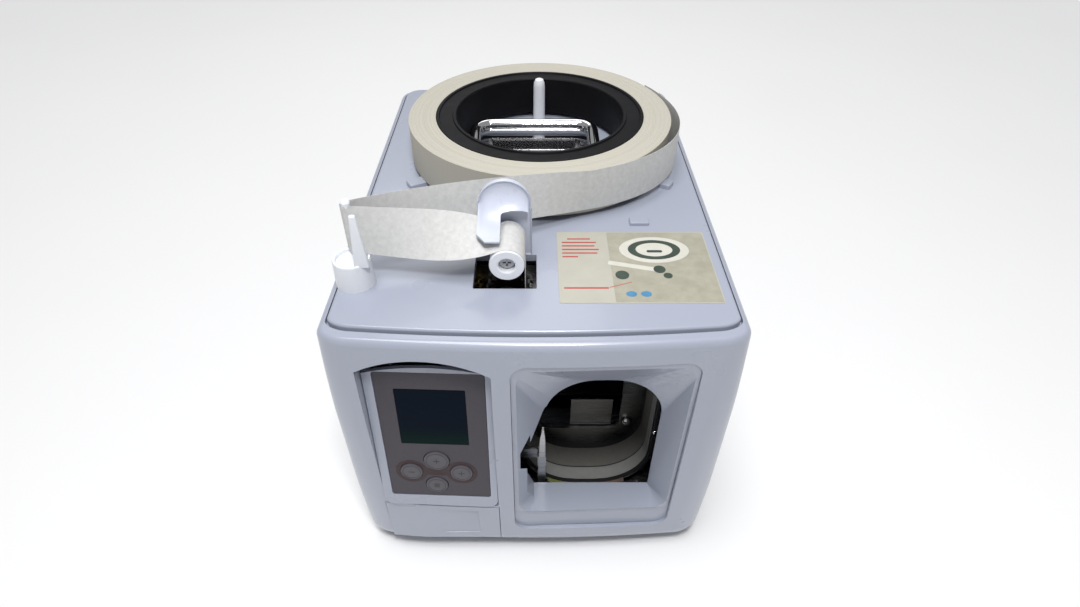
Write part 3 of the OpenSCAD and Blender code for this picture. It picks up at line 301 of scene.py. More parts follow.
def make_materials():
    scene = bpy.context.scene
    case, tape, panel = scene.strap_casing, scene.strap_tape, scene.strap_panel
    return {
        "casing_plastic": plain("moulded_casing", tuple(case.plastic), case.roughness, grain=700,
                                depth=0.000004, vary=0.004, spots=12, coat=0.25, even=0.04),
        "overlay_film": plain("keypad_film", tuple(panel.film), 0.42, grain=3000, vary=0.05,
                              spots=900, shine=0.3),
        "display_dark": display_finish(tuple(panel.display)),
        "key_film": plain("key_film", (0.075, 0.070, 0.083), 0.45, grain=2500, vary=0.05),
        "chrome": plain("chrome_plate", (0.72, 0.72, 0.73), 0.08, metal=1.0, depth=0.000004,
                        vary=0.02, spots=120),
        "steel": brushed("zinc_steel", (0.42, 0.42, 0.42), 0.30),
        "rubber": plain("black_rubber", (0.025, 0.025, 0.027), 0.75, grain=1800, depth=0.00006),
        "core_black": plain("core_plastic", (0.005, 0.005, 0.006), 0.45, vary=0.2, shine=0.12),
        "paper": paper_finish("tape_paper", tuple(tape.paper)),
        "nylon": plain("white_nylon", (0.76, 0.78, 0.82), 0.38, vary=0.02, subsurface=0.3),
        "guide_plastic": plain("guide_plastic", (0.55, 0.58, 0.68), 0.30, vary=0.02,
                               subsurface=0.2),
        "label_paper": plain("label_paper", (0.42, 0.41, 0.35), 0.40, vary=0.04, spots=90),
        "track_metal": plain("track_coating", (0.035, 0.035, 0.038), 0.35, metal=0.4, vary=0.15),
        "board": plain("board_green", (0.006, 0.022, 0.011), 0.4, vary=0.1),
        "brass": brushed("machined_brass", (0.66, 0.48, 0.20), 0.25),
        "motor_can": plain("motor_can", (0.16, 0.16, 0.17), 0.35, metal=0.8, vary=0.08),
        "iron_core": brushed("iron_sheets", (0.12, 0.115, 0.11), 0.5, along=(0, 1, 0)),
        "black_plastic": plain("black_fitting", (0.012, 0.012, 0.014), 0.35, vary=0.2),
        "paper_edges": winding_finish(tuple(tape.side)),
        # the loop's band: its paper colour darkened as painted shade
        "loop_band_painted_shade": painted_shade_band(),
        # the blade's side: painted highlights at its ends and a painted dark-red reflection of a
        # red cloth between them
        "clamp_blade_painted_reflection": along_finish("clamp_blade_painted_reflection", "Z", 0.036, 0.088, (
            (0, (0.55, 0.56, 0.60)), (0.22, (0.42, 0.43, 0.46)), (0.27, (0.10, 0.022, 0.016)),
            (0.85, (0.06, 0.014, 0.012)), (0.90, (0.30, 0.30, 0.30)),
            (1, (0.62, 0.62, 0.62))), 0.35, 0.3),
        "zinc_rainbow": along_finish("zinc_rainbow", "X", 0.004, 0.060, (
            (0, (0.34, 0.46, 0.16)), (0.25, (0.42, 0.46, 0.14)), (0.45, (0.52, 0.36, 0.14)),
            (0.70, (0.50, 0.26, 0.17)), (1, (0.22, 0.20, 0.18))), 0.30, 0.5),
        "print_maroon": plain("maroon_print", (0.024, 0.005, 0.008), 0.5, grain=3000, vary=0.05),
        "print_light": plain("grey_print", (0.035, 0.033, 0.040), 0.5, grain=3000, vary=0.04),
        "print_beige": plain("beige_print", (0.34, 0.325, 0.26), 0.38, vary=0.10, spots=160),
        "print_cream": plain("cream_print", (0.56, 0.55, 0.49), 0.38, vary=0.05, spots=160),
        "print_red": plain("red_print", (0.42, 0.07, 0.06), 0.45, vary=0.1, spots=700),
        "print_green_black": plain("dark_print", (0.035, 0.055, 0.040), 0.4, vary=0.2, spots=200),
        "print_blue": plain("blue_print", (0.06, 0.21, 0.36), 0.4, vary=0.1, spots=300),
    }


LOOKS = {}


# ---------- shared ways of making pieces, all in millimetres ----------

def turned(degrees, axis):
    return Matrix.Rotation(math.radians(degrees), 4, axis)


UPRIGHT = turned(90, "X")
LEAN = turned(-6, "X") @ UPRIGHT
PANEL = (Matrix.Translation((PANEL_MID, -140.7, 51.5)) @ turned(-2.2, "Z") @ LEAN
         @ Matrix.Translation((-PANEL_MID, 0, 0)))


def clamp(value, low=0.0, high=1.0):
    return max(low, min(high, value))


def only_verts(items):
    return [g for g in items if isinstance(g, bmesh.types.BMVert)]


def only_edges(items):
    return [g for g in items if isinstance(g, bmesh.types.BMEdge)]


def move(bm, matrix):
    """Carries a form to its place."""
    bmesh.ops.transform(bm, matrix=matrix, verts=bm.verts)
    return bm


def cut_off(bm, at, outward):
    """Takes away what lies beyond a plane, and closes the cut."""
    bmesh.ops.bisect_plane(bm, geom=bm.verts[:] + bm.edges[:] + bm.faces[:], dist=0.0001,
                           plane_co=at, plane_no=outward, clear_outer=True)
    bmesh.ops.holes_fill(bm, edges=[e for e in bm.edges if e.is_boundary], sides=0)


def finish_piece(name, bm, body, slot, replaces=(), mat=None, smooth=32.0):
    """Turns a bmesh into a piece of the model, with its body, slot and finish."""
    bmesh.ops.scale(bm, vec=(MM, MM, MM), verts=bm.verts)
    mesh = bpy.data.meshes.new(name)
    bm.to_mesh(mesh)
    bm.free()
    obj = bpy.data.objects.new(name, mesh)
    bpy.context.scene.collection.objects.link(obj)
    mesh.materials.clear()
    mesh.materials.append(mat or LOOKS[slot])
    mesh.shade_smooth()
    mesh.set_sharp_from_angle(angle=math.radians(smooth))
    even = obj.modifiers.new("even_shading", "WEIGHTED_NORMAL")
    even.keep_sharp = True
    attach(obj, body)
    if replaces:
        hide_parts(*replaces)
    return obj


def add_part(bm, part, where=None):
    """Puts a second form into the first."""
    if where:
        move(part, where)
    mesh = bpy.data.meshes.new("part")
    part.to_mesh(mesh)
    part.free()
    bm.from_mesh(mesh)
    bpy.data.meshes.remove(mesh)
    return bm


def bevel(bm, geom, width, segments, affect="EDGES", clamp_overlap=True):
    bmesh.ops.bevel(bm, geom=geom, offset=width, segments=segments, profile=0.5, affect=affect,
                    material=-1, clamp_overlap=clamp_overlap)


def round_edges(bm, width, angle=35.0, segments=2, only=None):
    """Rounds the edges that are sharper than an angle, or those of them that are asked for."""
    sharp = [e for e in bm.edges if len(e.link_faces) == 2
             and e.calc_face_angle(0) > math.radians(angle) and (only is None or only(e))]
    bevel(bm, sharp, width, segments)


def combine(base, parts):
    """Cuts forms out of a form, or joins them to it; parts are pairs of kind and form."""
    objs = []
    for bm in [base] + [p for _, p in parts]:
        bmesh.ops.recalc_face_normals(bm, faces=bm.faces)
        mesh = bpy.data.meshes.new("blank")
        bm.to_mesh(mesh)
        bm.free()
        obj = bpy.data.objects.new("blank", mesh)
        bpy.context.scene.collection.objects.link(obj)
        objs.append(obj)
    for (kind, _), obj in zip(parts, objs[1:]):
        mod = objs[0].modifiers.new("cut", "BOOLEAN")
        mod.operation = kind
        mod.solver = "EXACT"
        mod.object = obj
    result = objs[0].evaluated_get(bpy.context.evaluated_depsgraph_get())
    done = bpy.data.meshes.new_from_object(result)
    out = bmesh.new()
    out.from_mesh(done)
    bpy.data.meshes.remove(done)
    for obj in objs:
        mesh = obj.data
        bpy.data.objects.remove(obj)
        bpy.data.meshes.remove(mesh)
    bmesh.ops.remove_doubles(out, verts=out.verts, dist=0.002)
    bmesh.ops.dissolve_degenerate(out, edges=out.edges, dist=0.002)
    return out


def outline(low, high, corner=0.0, bow=0.0, steps=6, z=0.0):
    """A level face with rounded corners; with a bow its front edge curves forward."""
    bm = bmesh.new()
    for v in bmesh.ops.create_grid(bm, x_segments=1, y_segments=1, size=1)["verts"]:
        v.co = (high[0] if v.co.x > 0 else low[0], high[1] if v.co.y > 0 else low[1], z)
    if corner:
        bevel(bm, list(bm.verts), corner, steps, "VERTICES", False)
    if bow:
        front = [e for e in bm.edges if all(v.co.y < low[1] + 0.001 for v in e.verts)]
        bmesh.ops.subdivide_edges(bm, edges=front, cuts=20)
        reach = max(corner, 0.01)
        for v in bm.verts:
            ahead = clamp((low[1] + reach - v.co.y) / reach)
            v.co.y += ahead * v.co.x ** 2 / (2 * bow)
    return bm


def raise_face(bm, height):
    """Gives a single face a height, and returns the upper face's edges."""
    new = bmesh.ops.extrude_face_region(bm, geom=list(bm.faces))["geom"]
    bmesh.ops.translate(bm, vec=(0, 0, height), verts=only_verts(new))
    bmesh.ops.recalc_face_normals(bm, faces=bm.faces)
    return only_edges(new)


def plate(low, high, corner=0.0, edge=0.0, bow=0.0, steps=6, segments=3):
    """A level plate between two corners, its upright corners and its upper edge rounded."""
    bm = outline(low, high, corner, bow, steps, low[2])
    top = raise_face(bm, high[2] - low[2])
    if edge:
        bevel(bm, top, edge, segments)
    return bm


def disc(x, y, r, z0, z1, n=64, edge=0.0, r_top=None):
    """An upright round bar."""
    bm = bmesh.new()
    bmesh.ops.create_cone(bm, cap_ends=True, cap_tris=False, segments=n, radius1=r,
                          radius2=r if r_top is None else r_top, depth=z1 - z0)
    bmesh.ops.translate(bm, vec=(x, y, (z0 + z1) / 2), verts=bm.verts)
    if edge:
        ends = [e for e in bm.edges if all(v.co.z > z1 - 0.001 for v in e.verts)]
        bevel(bm, ends, edge, 3, clamp_overlap=False)
    return bm


def lathe(profile, x, y, n=96, where=None):
    """Spins a profile of radius and height round an upright axis."""
    bm = bmesh.new()
    verts = [bm.verts.new((r, 0, z)) for r, z in profile]
    edges = [bm.edges.new(pair) for pair in zip(verts, verts[1:])]
    bmesh.ops.spin(bm, geom=verts + edges, cent=(0, 0, 0), axis=(0, 0, 1), angle=math.tau,
                   steps=n, use_merge=True)
    bmesh.ops.remove_doubles(bm, verts=bm.verts, dist=0.0005)
    bmesh.ops.recalc_face_normals(bm, faces=bm.faces)
    bmesh.ops.translate(bm, vec=(x, y, 0), verts=bm.verts)
    if where:
        move(bm, where)
    return bm


def dressed_copy(node, edge, angle=40.0, segments=2, shape=None):
    """A CAD node's form, with its flat faces joined and its sharp edges rounded."""
    bm = bmesh.new()
    bm.from_mesh(NODES[node].data)
    bmesh.ops.scale(bm, vec=(1 / MM, 1 / MM, 1 / MM), verts=bm.verts)
    bmesh.ops.remove_doubles(bm, verts=bm.verts, dist=0.002)
    bmesh.ops.dissolve_limit(bm, angle_limit=math.radians(0.5), verts=bm.verts, edges=bm.edges)
    if shape:
        for v in bm.verts:
            shape(v.co)
    if edge:
        round_edges(bm, edge, angle, segments)
    return finish_piece(node + "_dressed", bm, BODY_OF[node], SLOT_OF[node], [node])


def paint_nodes():
    """Every carried node takes the finish of its slot."""
    for node, obj in NODES.items():
        obj.data.materials.clear()
        obj.data.materials.append(LOOKS[SLOT_OF[node]])


# ---------- casing ----------

def draw_at(inset, z, radius=0.0, reach=0.0):
    """How far the wall stands inside the outline at a height; a rounded edge has its own reach."""
    bulge = math.sqrt((BULGE_R - radius) ** 2 - (z - BULGE_Z) ** 2)
    return -min(BULGE_FLAT - inset - BULGE_R + bulge + reach, -inset)


def wall_rings(inset, low, high, r_low, r_high):
    """Pairs of draw and height, up the wall and round its lower and upper edges."""
    rings = [(draw_at(inset, low), low)]
    if r_low:
        middle, ends = low + r_low, math.radians(86.79)
        rings = [(draw_at(inset, middle, r_low, r_low * math.sin(ends * i / 7)),
                  middle - r_low * math.cos(ends * i / 7)) for i in range(8)]
    top, first, steps = high - r_high, rings[-1][1], 12
    heights = [first + (top - first) * i / steps for i in range(1, steps + (0 if r_high else 1))]
    rings += [(draw_at(inset, z), z) for z in heights]
    if r_high:
        starts, sweep = 3.6, 86.4
        for i in range(6):
            a = math.radians(starts + sweep * i / 5)
            rings.append((draw_at(inset, top, r_high, r_high * math.cos(a)),
                          top + r_high * math.sin(a)))
    return rings


def bow_front(co, starts, fades):
    """Curves a place near the front forward in the middle, as the casing's front does."""
    co.y += clamp((starts - co.y) / fades) * co.x ** 2 / (2 * FRONT_BOW)


def casing_form(inset, low, high, r_low, r_high):
    """The casing's bulging form, drawn up ring by ring."""
    rings = wall_rings(inset, low, high, r_low, r_high)
    bm = outline((-HALF_W, -HALF_D), (HALF_W, HALF_D), CORNER, 0.0, 8, rings[0][1])
    long_edges = [e for e in bm.edges if e.calc_length() > 40]
    bmesh.ops.subdivide_edges(bm, edges=long_edges, cuts=14)
    ring, verts, was = bm.edges[:], bm.verts[:], 0.0
    for level, (draw, z) in enumerate(rings):
        if level:
            new = bmesh.ops.extrude_edge_only(bm, edges=ring)["geom"]
            ring, verts = only_edges(new), only_verts(new)
        shrink = (CORNER - draw) / (CORNER - was)
        for v in verts:
            cx = clamp(v.co.x, CORNER - HALF_W, HALF_W - CORNER)
            cy = clamp(v.co.y, CORNER - HALF_D, HALF_D - CORNER)
            v.co = (cx + (v.co.x - cx) * shrink, cy + (v.co.y - cy) * shrink, z)
        was = draw
    bmesh.ops.edgeloop_fill(bm, edges=ring)
    for v in bm.verts:
        bow_front(v.co, CORNER - HALF_D, 14)
    bmesh.ops.recalc_face_normals(bm, faces=bm.faces)
    return bm


class STRAP_OT_casing(bpy.types.Operator):
    """Moulded casing with its rounded edges and its openings"""
    bl_idname = "strap.casing"
    bl_label = "Casing"

    def execute(self, context):
        edge = context.scene.strap_casing.edge
        arch = disc(PANEL_MID, 104.6, 60.3, 122, 143, 160)
        for at, outward in (((PANEL_LEFT, 0, 0), (-1, 0, 0)), ((PANEL_RIGHT, 0, 0), (1, 0, 0)),
                            ((0, 149, 0), (0, -1, 0))):
            cut_off(arch, at, outward)
        move(arch, UPRIGHT)
        mouth = move(plate((-11.1, 25.6, 120), (77.8, 162.6, 145), 8.1, steps=10), UPRIGHT)
        cut, add = "DIFFERENCE", "UNION"
        bm = combine(casing_form(0, 5, 175.5, 13, 4), [
            (cut, casing_form(2.6, 7.6, 171.9, 10, 0)),
            # thicker wall for the rear panel, and ribs at both sides of the control panel
            (add, plate((-73, 131.5, 17), (73, 139.6, 153))),
            (add, plate((-85, -136.2, 50.1), (PANEL_LEFT, -126.5, 155.7))),
            (add, plate((PANEL_RIGHT, -140, 50.1), (-18.2, -126.5, 155.7))),
            # pocket and opening of the lid, then the openings of the base and the rear panel
            (cut, plate((-95.8, -133.3, 172.6), (95.8, 135.8, 240), 11.5, 0, LID_BOW, 8)),
            (cut, plate((-90.4, -126.8, 150), (90.4, 130.4, 240), 6, 0, 885)),
            (cut, plate((-54, -86, 0), (54, 88, 8.6))),
            (cut, plate((-70.15, 134.5, 19.85), (70.15, 146, 150.15))),
            (cut, plate((-64, 124.5, 26), (64, 146, 144))),
            # openings of the control panel under its arch, the lower cover and the note inlet
            (cut, plate((PANEL_LEFT, -150, 51.2), (PANEL_RIGHT, -122.5, 150))),
            (cut, arch),
            (cut, plate((-84.6, -150, 13.7), (-19.5, -125.2, 49.7))),
            (cut, mouth)])

        def beside_panel(e):
            return all(abs(v.co.x - PANEL_LEFT) < 0.02 and v.co.y < -130 for v in e.verts)

        def not_rounded_yet(e):
            return e.calc_length() > 0.9 or abs(e.verts[0].co.x + 83) > 2

        round_edges(bm, 2.2, 40, 5, beside_panel)
        round_edges(bm, edge, 40, 2, not_rounded_yet)
        finish_piece("casing_shell", bm, "chassis", "casing_plastic", ["casing"])
        return {"FINISHED"}


class STRAP_OT_lid(bpy.types.Operator):
    """Lid with its rounded lip, tape window, dish well, ribs and lug"""
    bl_idname = "strap.lid"
    bl_label = "Lid"

    def execute(self, context):
        cut = "DIFFERENCE"
        blank = plate((-94.99, -131.39, 172.8), (94.99, 134.99, LID_TOP), 10.5, 1.5, LID_BOW, 8)
        bm = combine(blank, [
            (cut, plate((-29.5, -101, 160), (1.2, -74, 190), 0.6, steps=2)),
            (cut, plate((-31.5, 20.0, 160), (31.5, 54.0, 190), 4.5))])
        round_edges(bm, 0.35, 60, 2)
        foot = LID_TOP - 0.1
        for a in (90, 210, 330):
            rib = plate((61.5, -4, foot), (89.5, 4, foot + 3), 1.2, 0.7)
            add_part(bm, rib, Matrix.Translation((ROLL_X, ROLL_Y, 0)) @ turned(a, "Z"))
        add_part(bm, plate((52, -48, foot), (62.5, -42, foot + 2.1), 0.8, 0.6))
        finish_piece("lid_plate", bm, "chassis", "casing_plastic", ["lid"])
        return {"FINISHED"}


# ---------- control panel ----------

def panel_face(u0, x0, u1, x1, depth0, depth1, corner=0.0, edge=0.0, steps=5):
    """A plate of the leaning panel, drawn flat: depths are measured inwards from its face."""
    return plate((x0, u0, -depth1), (x1, u1, -depth0), corner, edge, steps=steps)


# place across and up the panel, and size across
KEYS = {"key_top": (-51.8, 36.6, 13.5), "key_left": (-66, 27.6, 11.8),
        "key_right": (-39, 27.6, 11.8), "key_bottom": (-53, 17.4, 11.8)}


def key_holes():
    """Round holes for the four keys, with a gap of 0.3 mm."""
    return [("DIFFERENCE", disc(x, u, d / 2 + 0.3, -9, 3, 64)) for x, u, d in KEYS.values()]


class STRAP_OT_panel(bpy.types.Operator):
    """Leaning bezel, keypad film and display glass"""
    bl_idname = "strap.panel"
    bl_label = "Control panel"

    def execute(self, context):
        cut = "DIFFERENCE"
        left, right = PANEL_LEFT + 0.05, PANEL_RIGHT - 0.3
        front = disc(PANEL_MID, -18.7, 120, -2.2, 0, 256)
        for at, outward in (((left, 0, 0), (-1, 0, 0)), ((right, 0, 0), (1, 0, 0)),
                            ((0, 20, 0), (0, -1, 0))):
            cut_off(front, at, outward)
        bm = combine(front, [("UNION", panel_face(0, left, 40, right, 0, 2.2, 5)),
                             (cut, panel_face(8, -78.6, 98.2, -23.8, -1, 1.3, 1.6)),
                             (cut, panel_face(51, -67, 85, -36, -1, 9, 0.5)), *key_holes()])
        round_edges(bm, 0.9, 50, 3)
        # walls behind the bezel's sides and foot
        for low, high in (((-83.1, 3, -12.6), (-80.6, 96, -2)),
                          ((-22.6, 3, -12.6), (right, 96, -2)),
                          ((-82, 0.5, -12.0), (-21, 3, -2))):
            add_part(bm, plate(low, high, 0.8, steps=2))
        finish_piece("bezel", move(bm, PANEL), "chassis", "casing_plastic", ["control_bezel"])

        film = combine(panel_face(8.15, -78.45, 98.05, -23.95, 0.35, 1.3, 1.5), [
            (cut, panel_face(48.85, -69.15, 87.15, -33.85, -2, 3, 0.6)), *key_holes()])
        round_edges(film, 0.15, 50, 1)
        finish_piece("keypad_film_sheet", move(film, PANEL), "chassis", "overlay_film",
                     ["keypad_overlay"])

        glass = panel_face(49, -69, 87, -34, 0.5, 1.3, 0.5, 0.25)
        finish_piece("display_glass_pane", move(glass, PANEL), "chassis", "display_dark",
                     ["display_window"])

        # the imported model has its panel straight, so what lies behind is turned with this one
        straight = Matrix.Translation((0, -141.4, 51.5)) @ LEAN
        turn = PANEL @ straight.inverted()

        def turn_with_panel(co):
            co.xyz = turn @ co

        for node in ("display_module", "keypad_board"):
            dressed_copy(node, 0.2, shape=turn_with_panel)

        # printed patch that joins the left and right keys
        patch = bmesh.new()
        for key in ("key_left", "key_right"):
            x, u, d = KEYS[key]
            inner, outer = d / 2 + 0.35, 8.6
            ring = [(inner, -0.6), (inner, -0.3), (outer, -0.3), (outer, -0.6), (inner, -0.6)]
            add_part(patch, lathe(ring, x, u, 64))
        add_part(patch, plate((-60.0, 24.9, -0.6), (-45.0, 30.2, -0.301), 0.4, steps=2))
        finish_piece("key_patch_print", move(patch, PANEL), "chassis", "overlay_film", (),
                     LOOKS["print_maroon"])
        return {"FINISHED"}


class STRAP_OT_keys(bpy.types.Operator):
    """Four round keys with their printed rings and marks"""
    bl_idname = "strap.keys"
    bl_label = "Keys"

    def execute(self, context):
        for key, (x, u, d) in KEYS.items():
            r = d / 2
            stem, collar, top = -9.2, -2.5, 0.5
            cap = lathe([(0, stem), (3, stem), (3, collar), (r, collar), (r, 0.1), (r - 0.45, 0.45),
                         (0, top)], x, u, 64)
            finish_piece(key + "_cap", move(cap, PANEL), key, "key_film", [key])
            marks = lathe([(r - 1.35, 0.40), (r - 1.35, 0.56), (r - 1.0, 0.54), (r - 1.0, 0.30),
                           (r - 1.35, 0.40)], x, u, 64)
            bars = [(3.4, 0.6, key != "key_bottom"), (0.6, 3.4, key in ("key_right", "key_top")),
                    (3.0, 3.0, key == "key_bottom")]
            for w, h, here in bars:
                if here:
                    low, high = (x - w / 2, u - h / 2, 0.3), (x + w / 2, u + h / 2, 0.56)
                    add_part(marks, plate(low, high, 0.2, steps=2))
            finish_piece(key + "_marks", move(marks, PANEL), key, "key_film", (),
                         LOOKS["print_light"])
        return {"FINISHED"}


# ---------- roll and core ----------

class STRAP_OT_roll(bpy.types.Operator):
    """Wound paper roll on its black core"""
    bl_idname = "strap.roll"
    bl_label = "Roll"

    def execute(self, context):
        low, high, outer = 180.0, 204.0, 79.98
        # the turns stand a little unevenly, so each rises or falls by hundredths of a millimetre
        rim = [(63.55 + i * 16.4 / 40, 0.10 * math.sin(i * 2.3) + 0.07 * math.sin(i * 5.1 + 1))
               for i in range(41)]
        top = [(r, high - 0.2 + dz) for r, dz in rim]
        bottom = [(r, low + 0.2 + dz) for r, dz in reversed(rim)]
        profile = top + [(outer, high - 0.5), (outer, low + 0.5)] + bottom + [top[0]]
        bm = lathe(profile, ROLL_X, ROLL_Y, 144)
        finish_piece("paper_winding", bm, "roll", "paper", ["tape_roll"], LOOKS["paper_edges"])
        ring = [(51.3, low), (62.8, low), (63.5, 180.5), (63.5, 203.4), (63.0, high), (61.6, high),
                (61.2, 203.2), (53.4, 203.2), (53.0, high), (51.6, high), (51.0, 203.4),
                (51.0, 180.3), (51.3, low)]
        core = lathe(ring, ROLL_X, ROLL_Y, 144)
        finish_piece("roll_core_ring", core, "roll", "core_black", ["roll_core"])
        return {"FINISHED"}


# ---------- tape ----------

def smooth_path(points, per=4):
    """Points on a smooth curve through the given ones."""
    out, last = [], len(points) - 1
    for i in range(last):
        a, b, c, d = (Vector(points[clamp(k, 0, last)]) for k in (i - 1, i, i + 1, i + 2))
        for j in range(per):
            t = j / per
            out.append(0.5 * ((2 * b) + (c - a) * t + (2 * a - 5 * b + 4 * c - d) * t * t
                              + (3 * b - a - 3 * c + d) * t ** 3))
    out.append(Vector(points[-1]))
    return out


def arc(x, z, r, start, stop, step=15):
    """Points round a centre, from one angle in degrees to another."""
    angles = [math.radians(a) for a in range(start, stop + 1, step)]
    return [(x + r * math.cos(a), z + r * math.sin(a)) for a in angles]


def ribbon(path, across, width, thick):
    """A strip drawn along a path: across gives the direction of its width at each point."""
    bm = bmesh.new()
    rows = 5

    def place(i):
        d = across[i].normalized()
        return [path[i] + d * (k / (rows - 1) - 0.5) * width for k in range(rows)]

    verts = [bm.verts.new(c) for c in place(0)]
    edges = [bm.edges.new(pair) for pair in zip(verts, verts[1:])]
    for i in range(1, len(path)):
        new = bmesh.ops.extrude_edge_only(bm, edges=edges)["geom"]
        edges, row = only_edges(new), only_verts(new)
        d = across[i - 1].normalized()
        row.sort(key=lambda v: (v.co - path[i - 1]).dot(d))
        for v, c in zip(row, place(i)):
            v.co = c
    bmesh.ops.recalc_face_normals(bm, faces=bm.faces)
    bmesh.ops.solidify(bm, geom=bm.faces[:], thickness=thick)
    return bm


def span_route():
    """Middle line of the free tape, and the direction of its width along it."""
    mid, direct = [], []
    # the last turn stands loose round the roll
    for i in range(15):
        f = i / 14
        a = math.radians(30 - 102.4 * f)
        r = 80.15 + 0.5 * (1 + f) + 4.5 * math.sin(math.pi * f) ** 2
        mid.append((ROLL_X + r * math.cos(a), ROLL_Y + r * math.sin(a), 192 + 2.5 * f))
        direct.append((0, 0, 1))
    # then it goes round the post, leaning on its way there
    around = [math.radians(110 + 155 * i / 6) for i in range(7)]
    turn = [(POST_X + 2.85 * math.cos(a), POST_Y + 2.85 * math.sin(a), 204.5) for a in around]
    start, goal = Vector(mid[-1]), Vector(turn[0])
    for i in range(1, 6):
        f = i / 6
        lean = math.radians(14 * math.sin(math.pi * f) + 4 * f)
        mid.append(tuple(start + (goal - start) * f + Vector((0, 0, 1.2 * math.sin(math.pi * f)))))
        direct.append((-0.36 * math.sin(lean), 0.93 * math.sin(lean), math.cos(lean)))
    for i, p in enumerate(turn):
        mid.append(p)
        direct.append((0, 0.05 * i / 6, 1))
    # it twists a quarter turn on its way to the roller, bends over it and drops into the machine
    start, goal = Vector(turn[-1]), Vector((ROLLER_X - 4, TAPE_Y, 197.72))
    for i in range(1, 10):
        f = i / 10
        a = math.pi / 2 * (0.10 + 0.90 * f ** 1.8)
        mid.append(tuple(start + (goal - start) * f - Vector((0, 0, 0.8 * math.sin(math.pi * f)))))
        direct.append((0, math.sin(a), math.cos(a)))
    for i in range(7):
        over = 8.7
        a = math.acos(-4 / over) * (1 - i / 6)
        mid.append((ROLLER_X + over * math.cos(a), TAPE_Y, ROLLER_Z + over * math.sin(a)))
        direct.append((0, 1, 0))
    for z in (182, 172, 160, 147, 134.2):
        mid.append((LOOP_LEFT, TAPE_Y, z))
        direct.append((0, 1, 0))
    return mid, direct


class STRAP_OT_tape(bpy.types.Operator):
    """Paper tape from the roll to the machine, and its loop round the notes"""
    bl_idname = "strap.tape"
    bl_label = "Tape"

    def execute(self, context):
        mid, direct = span_route()
        bm = ribbon(smooth_path(mid), smooth_path(direct), TAPE_WIDTH, 0.18)
        finish_piece("tape_strip", bm, "chassis", "paper", ["tape_span"], None, 60)

        left, right, low, high = LOOP_LEFT, 69.9, 15.5, 125.5
        wide, tight = 31.5, 24.5
        loop = [(left, z) for z in (132.9, 124, 112, 90, 65, 47)]
        loop += arc(left + wide, low + wide, wide, 180, 270)
        loop += [(left + 37, low), (right - wide, low)]
        loop += arc(right - wide, low + wide, wide, 285, 360)
        loop += [(right, z) for z in (60, 80, 101)]
        loop += arc(right - tight, high - tight, tight, 15, 90)
        loop += [(x, high) for x in (30, 15, 5.5)]
        path = smooth_path([(x, TAPE_Y, z) for x, z in loop], 3)
        bm = ribbon(path, [Vector((0, 1, 0))] * len(path), TAPE_WIDTH, 0.2)
        # the loop's band carries painted shade in its colour
        finish_piece("tape_ring", bm, "chassis", "paper", ["tape_loop"], LOOKS["loop_band_painted_shade"], 60)

        # bare lip of the track under the loop's front edge
        under = 1.5
        lip = arc(left + wide, low + wide, wide + under, 235, 270, 7)
        lip += [(left + 42, low - under)]
        lip += arc(right - wide, low + wide, wide + under, 270, 305, 7)
        path = smooth_path([(x, -103.0, z) for x, z in lip], 3)
        bm = ribbon(path, [Vector((0, 1, 0))] * len(path), 2.6, 0.8)
        finish_piece("track_lip", bm, "chassis", "steel", (), LOOKS["zinc_rainbow"], 60)
        return {"FINISHED"}


# ---------- tape guides ----------

def feed_guide_form():
    """Upright plate with a raised rim, and the smooth hood that leads the tape over the roller."""
    face = bmesh.new()
    back, thick, round_x, round_z = 71.3, 3.0, -14.2, 207.2
    corners = ((-27.4, LID_TOP), (-1, LID_TOP), (-1, 203), (-7.5, 213.4), (-20, 213), (-27.4, 209))
    face.faces.new([face.verts.new((x, u, back)) for x, u in corners])
    raise_face(face, thick)
    bm = combine(face, [("UNION", disc(round_x, round_z, 12.8, back, back + thick, 128))])
    bmesh.ops.dissolve_limit(bm, angle_limit=math.radians(1), verts=bm.verts, edges=bm.edges)
    front = [f for f in bm.faces if f.normal.z > 0.9]
    bmesh.ops.inset_region(bm, faces=front, thickness=1.2, depth=0, use_even_offset=True)
    bmesh.ops.translate(bm, vec=(0, 0, -1.1), verts=list({v for f in front for v in f.verts}))
    round_edges(bm, 0.4, 50, 2)
    add_part(bm, disc(ROLLER_X, ROLLER_Z, 4.6, 72, 74.9, 48, 0.4))
    move(bm, UPRIGHT)

    # the hood: u goes across it from left to right, t from the plate to its lip in front
    hood = bmesh.new()
    for v in bmesh.ops.create_grid(hood, x_segments=18, y_segments=28, size=1)["verts"]:
        u, t = (v.co.x + 1) / 2, (1 - v.co.y) / 2
        ease = clamp((t - 0.36) / 0.12)
        right = -2.6 - 13.3 * ease * ease * (3 - 2 * ease)
        left = -27.1 + 4.2 * max(0.0, (t - 0.84) / 0.16)
        x = left + u * (right - left)
        crown = round_z + math.sqrt(max(0.0, 11.9 ** 2 - (x - round_x) ** 2))
        top = max(crown, 209.5 if x < round_x else 207.0)
        v.co = (x, -72.9 - 24.4 * t ** 1.6, top + (201.8 - top) * (1 - (1 - t) ** 2.2))
    bmesh.ops.recalc_face_normals(hood, faces=hood.faces)
    if sum(f.normal.z for f in hood.faces) < 0:
        bmesh.ops.reverse_faces(hood, faces=hood.faces)
    bmesh.ops.solidify(hood, geom=hood.faces[:], thickness=1.1)
    round_edges(hood, 0.35, 50, 2)
    return add_part(bm, hood)


